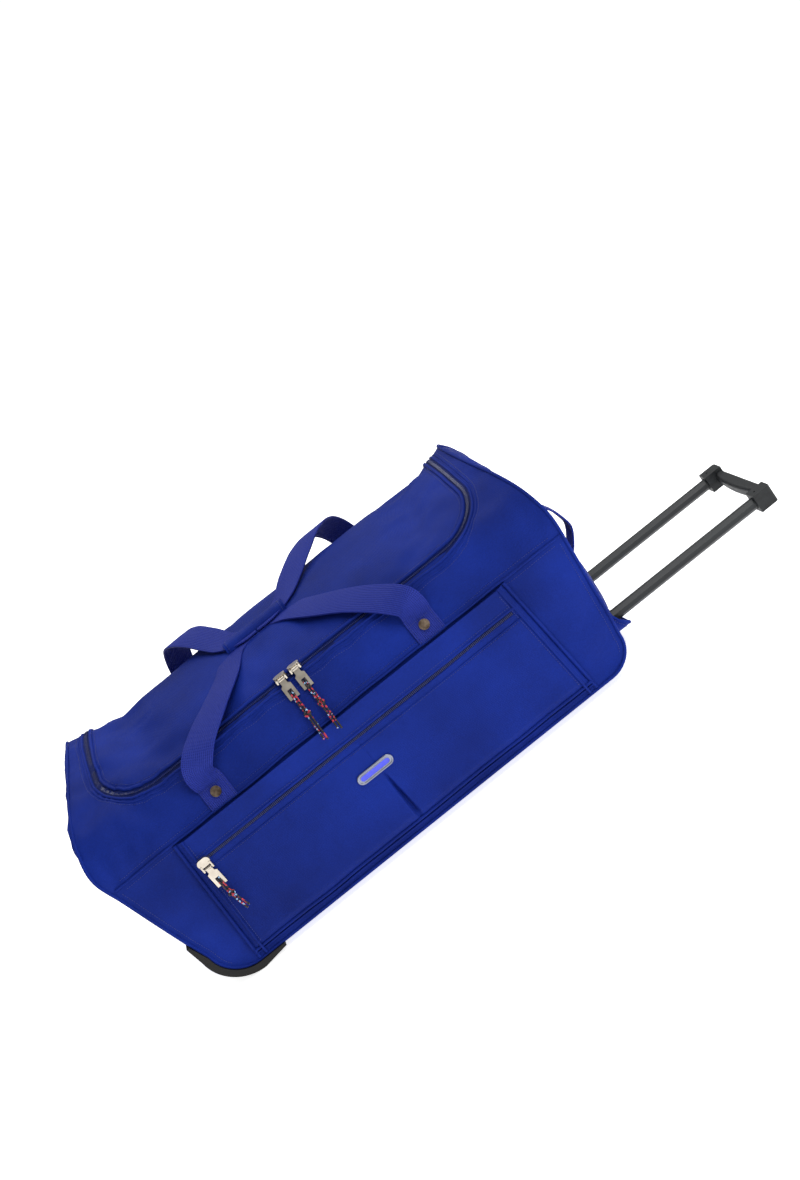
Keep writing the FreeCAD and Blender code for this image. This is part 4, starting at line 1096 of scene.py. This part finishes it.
LEFT_REAR = [((-150, 167, 178), (0, 1, 0)), ((-150, 167, 214), (0, 1, 0)), ((-149, 170, 245), (0, 1, 0)),
             ((-141, 160, 282), (0, 1, 0.3)), ((-129, 134, 313), (0, 0.9, 0.8)),
             ((-117, 108, 327), (0, 0.2, 1)),
             ((-98, 80, 326), (0, -0.2, 1)), ((-80, 48, 317), (0, -0.3, 1)), ((-62, 18, 307), (0, 0, 1)),
             ((-40, 3, 303), (0, 0, 1)), ((-21, 2, 303), (0, 0, 1))]
RIGHT_REAR = [((150, 167, 178), (0, 1, 0)), ((150, 167, 214), (0, 1, 0)), ((149, 170, 245), (0, 1, 0)),
              ((143, 160, 283), (0, 1, 0.3)), ((131, 134, 314), (0, 0.9, 0.8)),
              ((113, 108, 328), (0, 0.2, 1)),
              ((85, 80, 325), (0, -0.2, 1)), ((56, 48, 316), (0, -0.3, 1)), ((28, 18, 306), (0, 0, 1)),
              ((2, 3, 303), (0, 0, 1)), ((-19, 2, 303), (0, 0, 1))]
rows = []
for name, node, routes in (("front", "carry_handle_front", (LEFT_FRONT, RIGHT_FRONT)),
                           ("rear", "carry_handle_rear", (LEFT_REAR, RIGHT_REAR))):
    runs = []
    for route in routes:
        run, edges = webbing("run", route)
        runs.append(run)
        rows += [sew(line[:9]) for line in edges]
        foot = route[0][0]
        for height in (3, 27) if name == "front" else (3, 32):
            if name == "front":
                y = -156.9 + 7.5 * height / 17.7 - 1.9
            else:
                y = 168.7
            rows.append(sew([at(foot[0] + i, y, foot[2] + height) for i in range(-15, 17, 3)]))
    loops = joined(node + "_webbing", runs)
    dress(loops, web)
    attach(loops, "bag")
    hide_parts(node)
stitched("webbing_stitching", rows)

# ---- handle wrap ----
# A padded wrap of the bag's cloth closed round all four runs of webbing, 94 mm long, its
# fastened edge standing down in front and its ends bound.
WRAP_X = -20
WRAP_LONG = 94
WRAP_Y = 2
WRAP_Z = 301


def wrap_spot(u, v, swell=1.0):
    """A point on the roll: u along it, v round it from the fastened edge."""
    end = min(u, 1 - u) * WRAP_LONG
    tuck = 1 - 0.16 * max(1 - end / 5, 0) ** 2
    angle = -math.pi * 0.62 - 2 * math.pi * v
    soft = 1 + 0.05 * noise.noise(Vector((u * 7, math.cos(angle) * 1.4, math.sin(angle) * 1.4)))
    power = 0.78
    y = math.copysign(abs(math.cos(angle)) ** power, math.cos(angle)) * 12.6
    z = math.copysign(abs(math.sin(angle)) ** power, math.sin(angle)) * 10.8
    full = tuck * soft * swell
    return at(WRAP_X + (u - 0.5) * WRAP_LONG, WRAP_Y + y * full, WRAP_Z + z * full)


bpy.ops.mesh.primitive_grid_add(x_subdivisions=48, y_subdivisions=56, size=1)
wrap = bpy.context.object
for vertex in wrap.data.vertices:
    vertex.co = wrap_spot(vertex.co.x + 0.5, vertex.co.y + 0.5)
bpy.ops.object.mode_set(mode="EDIT")
bpy.ops.mesh.select_all(action="SELECT")
bpy.ops.mesh.remove_doubles(threshold=0.0002)
bpy.ops.mesh.normals_make_consistent(inside=False)
bpy.ops.object.mode_set(mode="OBJECT")
thickness = wrap.modifiers.new("thickness", "SOLIDIFY")
thickness.thickness = 3 * MM
thickness.offset = -1
wrap = as_mesh(wrap)
parts = [wrap]
edge_low = [wrap_spot(i / 40, 0) for i in range(1, 40)]
for lift, radius in ((0, 1.5), (-3.2, 1.5), (-6.2, 1.7)):
    parts.append(as_mesh(poly_line("edge", [p + Vector((0, -0.9, lift)) * MM for p in edge_low], radius)))
for u in (0.012, 0.988):
    parts.append(as_mesh(poly_line("edge", [wrap_spot(u, j / 40, 1.01) for j in range(40)], 1.3, True)))
wrap = joined("handle_wrap_padded", parts)
bpy.ops.object.shade_smooth_by_angle(angle=math.radians(50))
dress(wrap, polyester)
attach(wrap, "bag")
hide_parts("handle_wrap")
rows = [sew([wrap_spot(u, j / 60, 1.015) for j in range(61)]) for u in (0.05, 0.95)]
rows.append(sew([p + Vector((0, -2.6, -3.2)) * MM for p in edge_low]))
stitched("handle_wrap_stitching", rows)

# ---- grab handle ----
# A short loop of 30 mm webbing on the pull-out end, folded double and creased in its middle,
# sewn flat at both feet.
def end_skin(y, z, lift=1.6):
    """A point on the handle end's cloth, lifted off it."""
    return onto_skin(at(380, y, z), Vector((-1, 0, 0)), lift)


def end_x_at(z):
    """How far out the handle end's cloth is in the middle, at a height."""
    return (end_skin(0, z).x - MIDDLE) / MM


GRAB = [((end_x_at(224), 0, 224), (1, 0, 0)), ((end_x_at(211), 0, 211), (1, 0, 0)),
        ((356, 0, 200), (1, 0, 0.3)), ((368, 0, 183), (1, 0, 0.3)), ((375, 0, 164), (1, 0, 0.1)),
        ((377, 0, 148), (1, 0, -0.1)), ((365, 0, 126), (1, 0, -0.3)),
        ((end_x_at(110), 0, 110), (1, 0, 0)), ((end_x_at(98), 0, 98), (1, 0, 0))]
grab, edges = webbing("grab_handle_webbing", GRAB, 30, 3)
dress(grab, web)
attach(grab, "bag")
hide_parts("grab_handle")
rows = [sew(line) for line in edges]
for z in (100, 109, 213, 222):
    rows.append(sew([end_skin(y, z, 3.2) for y in range(-12, 13, 3)]))
stitched("grab_handle_stitching", rows)

# ---- handle mouth ----
# A lip of cloth over a stiff frame stands out round the mouth of the pull-out handle: piped in
# blue along its rim and lined with grey-brown cloth.
def mouth(x, inset, count=10):
    """A rounded outline round the handle's mouth, its lower lip hanging open at the front."""
    wide, low, high, radius = 99.8 - inset, 22.2 + inset, 69.8 - inset, 18 - inset / 2
    out = []
    for cy, cz, first in ((wide - radius, high - radius, 0), (-wide + radius, high - radius, 90),
                          (-wide + radius, low + radius, 180), (wide - radius, low + radius, 270)):
        for i in range(count + 1):
            angle = math.radians(first + 90 * i / count)
            y, z = cy + radius * math.cos(angle), cz + radius * math.sin(angle)
            up = min(max((z - 28) / 18, 0), 1)
            gape = 6 - 16 * up - 10 * (1 - up) * min(max((y + 60) / 80, 0), 1)
            out.append(at(x + max(x - 333, 0) / 16.5 * gape, y, z))
    return out


def sleeve(name, rings):
    """A tube through rings that have the same number of points."""
    count = len(rings[0])
    bpy.ops.mesh.primitive_grid_add(x_subdivisions=count, y_subdivisions=len(rings) - 1, size=1)
    tube = bpy.context.object
    tube.name = name
    for vertex in tube.data.vertices:
        i = round((vertex.co.x + 0.5) * count) % count
        j = round((vertex.co.y + 0.5) * (len(rings) - 1))
        vertex.co = rings[j][i]
    bpy.ops.object.mode_set(mode="EDIT")
    bpy.ops.mesh.select_all(action="SELECT")
    bpy.ops.mesh.remove_doubles(threshold=0.0001)
    bpy.ops.object.mode_set(mode="OBJECT")
    bpy.ops.object.shade_smooth_by_angle(angle=math.radians(40))
    return tube


outside = sleeve("outside", [mouth(x, inset)
                             for x, inset in ((307, 1), (320, 0.2), (333, 0.4), (344, 0), (349, 0.4))])
hem = as_mesh(poly_line("hem", mouth(349.5, 1.4), 2, True, 3))
lip = joined("trolley_lip_cloth", [outside, hem])
dress(lip, polyester)
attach(lip, "bag")
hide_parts("trolley_lip")
inside = sleeve("trolley_lip_lining", [mouth(x, inset)
                                       for x, inset in ((349, 2.6), (340, 3.2), (328.5, 3.2))])
inside.data.flip_normals()
lining = cloth_material("grey_brown_lining", "#5c4c50", "#382d31", 0.8)
dress(inside, lining)
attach(inside, "bag")
rows = [sew(mouth(344.6, -0.3), True)]
stitched("trolley_lip_stitching", rows)

# ---- cord knots ----
# Both strands of each pull are tied in one overhand knot half way down, and their cut ends are
# melted into small dark beads.
for name, x, y, z, run, drop, strands in pulls:
    body = "pull_" + name
    down, off = (51, 4.4) if name != "pocket" else (41, 4.2)
    slant = 0.0 if name != "pocket" else 1.2
    loop = []
    for i in range(72):
        t = 2 * math.pi * i / 72
        a = 1.35 * (math.sin(t) + 2 * math.sin(2 * t))
        b = 1.75 * (math.cos(t) - 2 * math.cos(2 * t))
        c = -1.25 * math.sin(3 * t)
        place_down, place_off = down + b, off + c
        loop.append(at(x + slant + a, y - run * place_down - drop * place_off,
                       z - drop * place_down + run * place_off))
    knot = as_mesh(poly_line("knot", loop, CORD / 2 - 0.05, True, 3))
    beads = [knot]
    for strand in strands:
        side, down, off = strand[-1]
        bpy.ops.mesh.primitive_uv_sphere_add(segments=12, ring_count=8, radius=1.55 * MM)
        bead = bpy.context.object
        spot = at(x + side, y - run * down - drop * off, z - drop * down + run * off)
        bead.data.transform(Matrix.Translation(spot))
        bead.location = (0, 0, 0)
        beads.append(bead)
    knot = joined("pull_knot_" + name, beads)
    bpy.ops.object.shade_smooth()
    dress(knot, braid)
    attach(knot, body)

# ---- hard parts ----
# Moulded, drawn and cast pieces as they are in the drawing, each in the finish it is made with.


def finish(name, low, high, scale, rough, metal=0.0, bump=0.0, coat=0.0, stretch=(1, 1, 1)):
    """A hard finish: mottled between two colours, its roughness worn unevenly, with a fine grain."""
    material, tree, shader, place = new_material(name)
    drawn = add_node(tree, "ShaderNodeMapping", {"Scale": stretch}, {"Vector": (place, "Object")})
    mottle = add_node(tree, "ShaderNodeTexNoise", {"Scale": scale, "Detail": 4}, {"Vector": drawn})
    tone = add_node(tree, "ShaderNodeValToRGB", {}, {0: mottle})
    tone.color_ramp.elements[0].position = 0.35
    tone.color_ramp.elements[0].color = linear(low)
    tone.color_ramp.elements[1].position = 0.65
    tone.color_ramp.elements[1].color = linear(high)
    tree.links.new(tone.outputs[0], shader.inputs["Base Color"])
    worn = add_node(tree, "ShaderNodeMapRange", {"To Min": rough * 0.75, "To Max": rough * 1.3},
                    {"Value": mottle})
    tree.links.new(worn.outputs[0], shader.inputs["Roughness"])
    shader.inputs["Metallic"].default_value = metal
    shader.inputs["Specular IOR Level"].default_value = 0.5 if metal > 0.5 else 0.3
    shader.inputs["Coat Weight"].default_value = coat
    if bump:
        grain = add_node(tree, "ShaderNodeTexNoise", {"Scale": 1400, "Detail": 2},
                         {"Vector": (place, "Object")})
        raised = add_node(tree, "ShaderNodeBump", {"Strength": bump, "Distance": 0.0002}, {"Height": grain})
        tree.links.new(raised.outputs[0], shader.inputs["Normal"])
    return material


FINISHES = {
    finish("nickel_plated_zinc", "#b8afa2", "#ccc4b7", 60, 0.3, 1.0, 0.05):
        ("slider_left", "slider_right", "slider_pocket", "tab_left", "tab_right", "tab_pocket"),
    finish("antique_brass", "#54453a", "#8c7a68", 160, 0.34, 0.9, 0.2):
        ("rivet_front_1", "rivet_front_2", "rivet_rear_1", "rivet_rear_2"),
    finish("dark_grey_tube_enamel", "#15171a", "#1f2325", 90, 0.42, 0.1, 0.1, 0.1, (0.15, 1, 1)):
        ("trolley_tube_front", "trolley_tube_rear"),
    finish("moulded_grey_polypropylene", "#141618", "#202325", 120, 0.5, 0.0, 0.6):
        ("trolley_grip", "grip_pin_front", "grip_pin_rear"),
    finish("moulded_black_polypropylene", "#090808", "#13110f", 120, 0.55, 0.0, 0.6):
        ("wheel_housing_front", "wheel_housing_rear", "foot_front", "foot_rear", "guide_bezel",
         "guide_bracket", "tube_plug_front", "tube_plug_rear"),
    finish("drawn_aluminium_guide", "#8a8d90", "#a3a6a8", 60, 0.35, 0.9, 0.1, 0.0, (0.1, 1, 1)):
        ("guide_tube_front", "guide_tube_rear"),
    finish("black_wheel_rubber", "#161617", "#242425", 200, 0.75, 0.0, 0.5): ("tyre_front", "tyre_rear"),
    finish("grey_nylon_hub", "#55585a", "#686c6e", 140, 0.45, 0.0, 0.3): ("hub_front", "hub_rear"),
    finish("bright_axle_steel", "#8f9294", "#b4b6b8", 300, 0.28, 1.0, 0.1): ("axle_front", "axle_rear"),
    finish("grey_fibreboard", "#5b564e", "#7d776c", 180, 0.85, 0.0, 0.5): ("base_board",),
}
for material, nodes in FINISHES.items():
    for node in nodes:
        for holder in bpy.data.objects[node].material_slots:
            holder.material = material
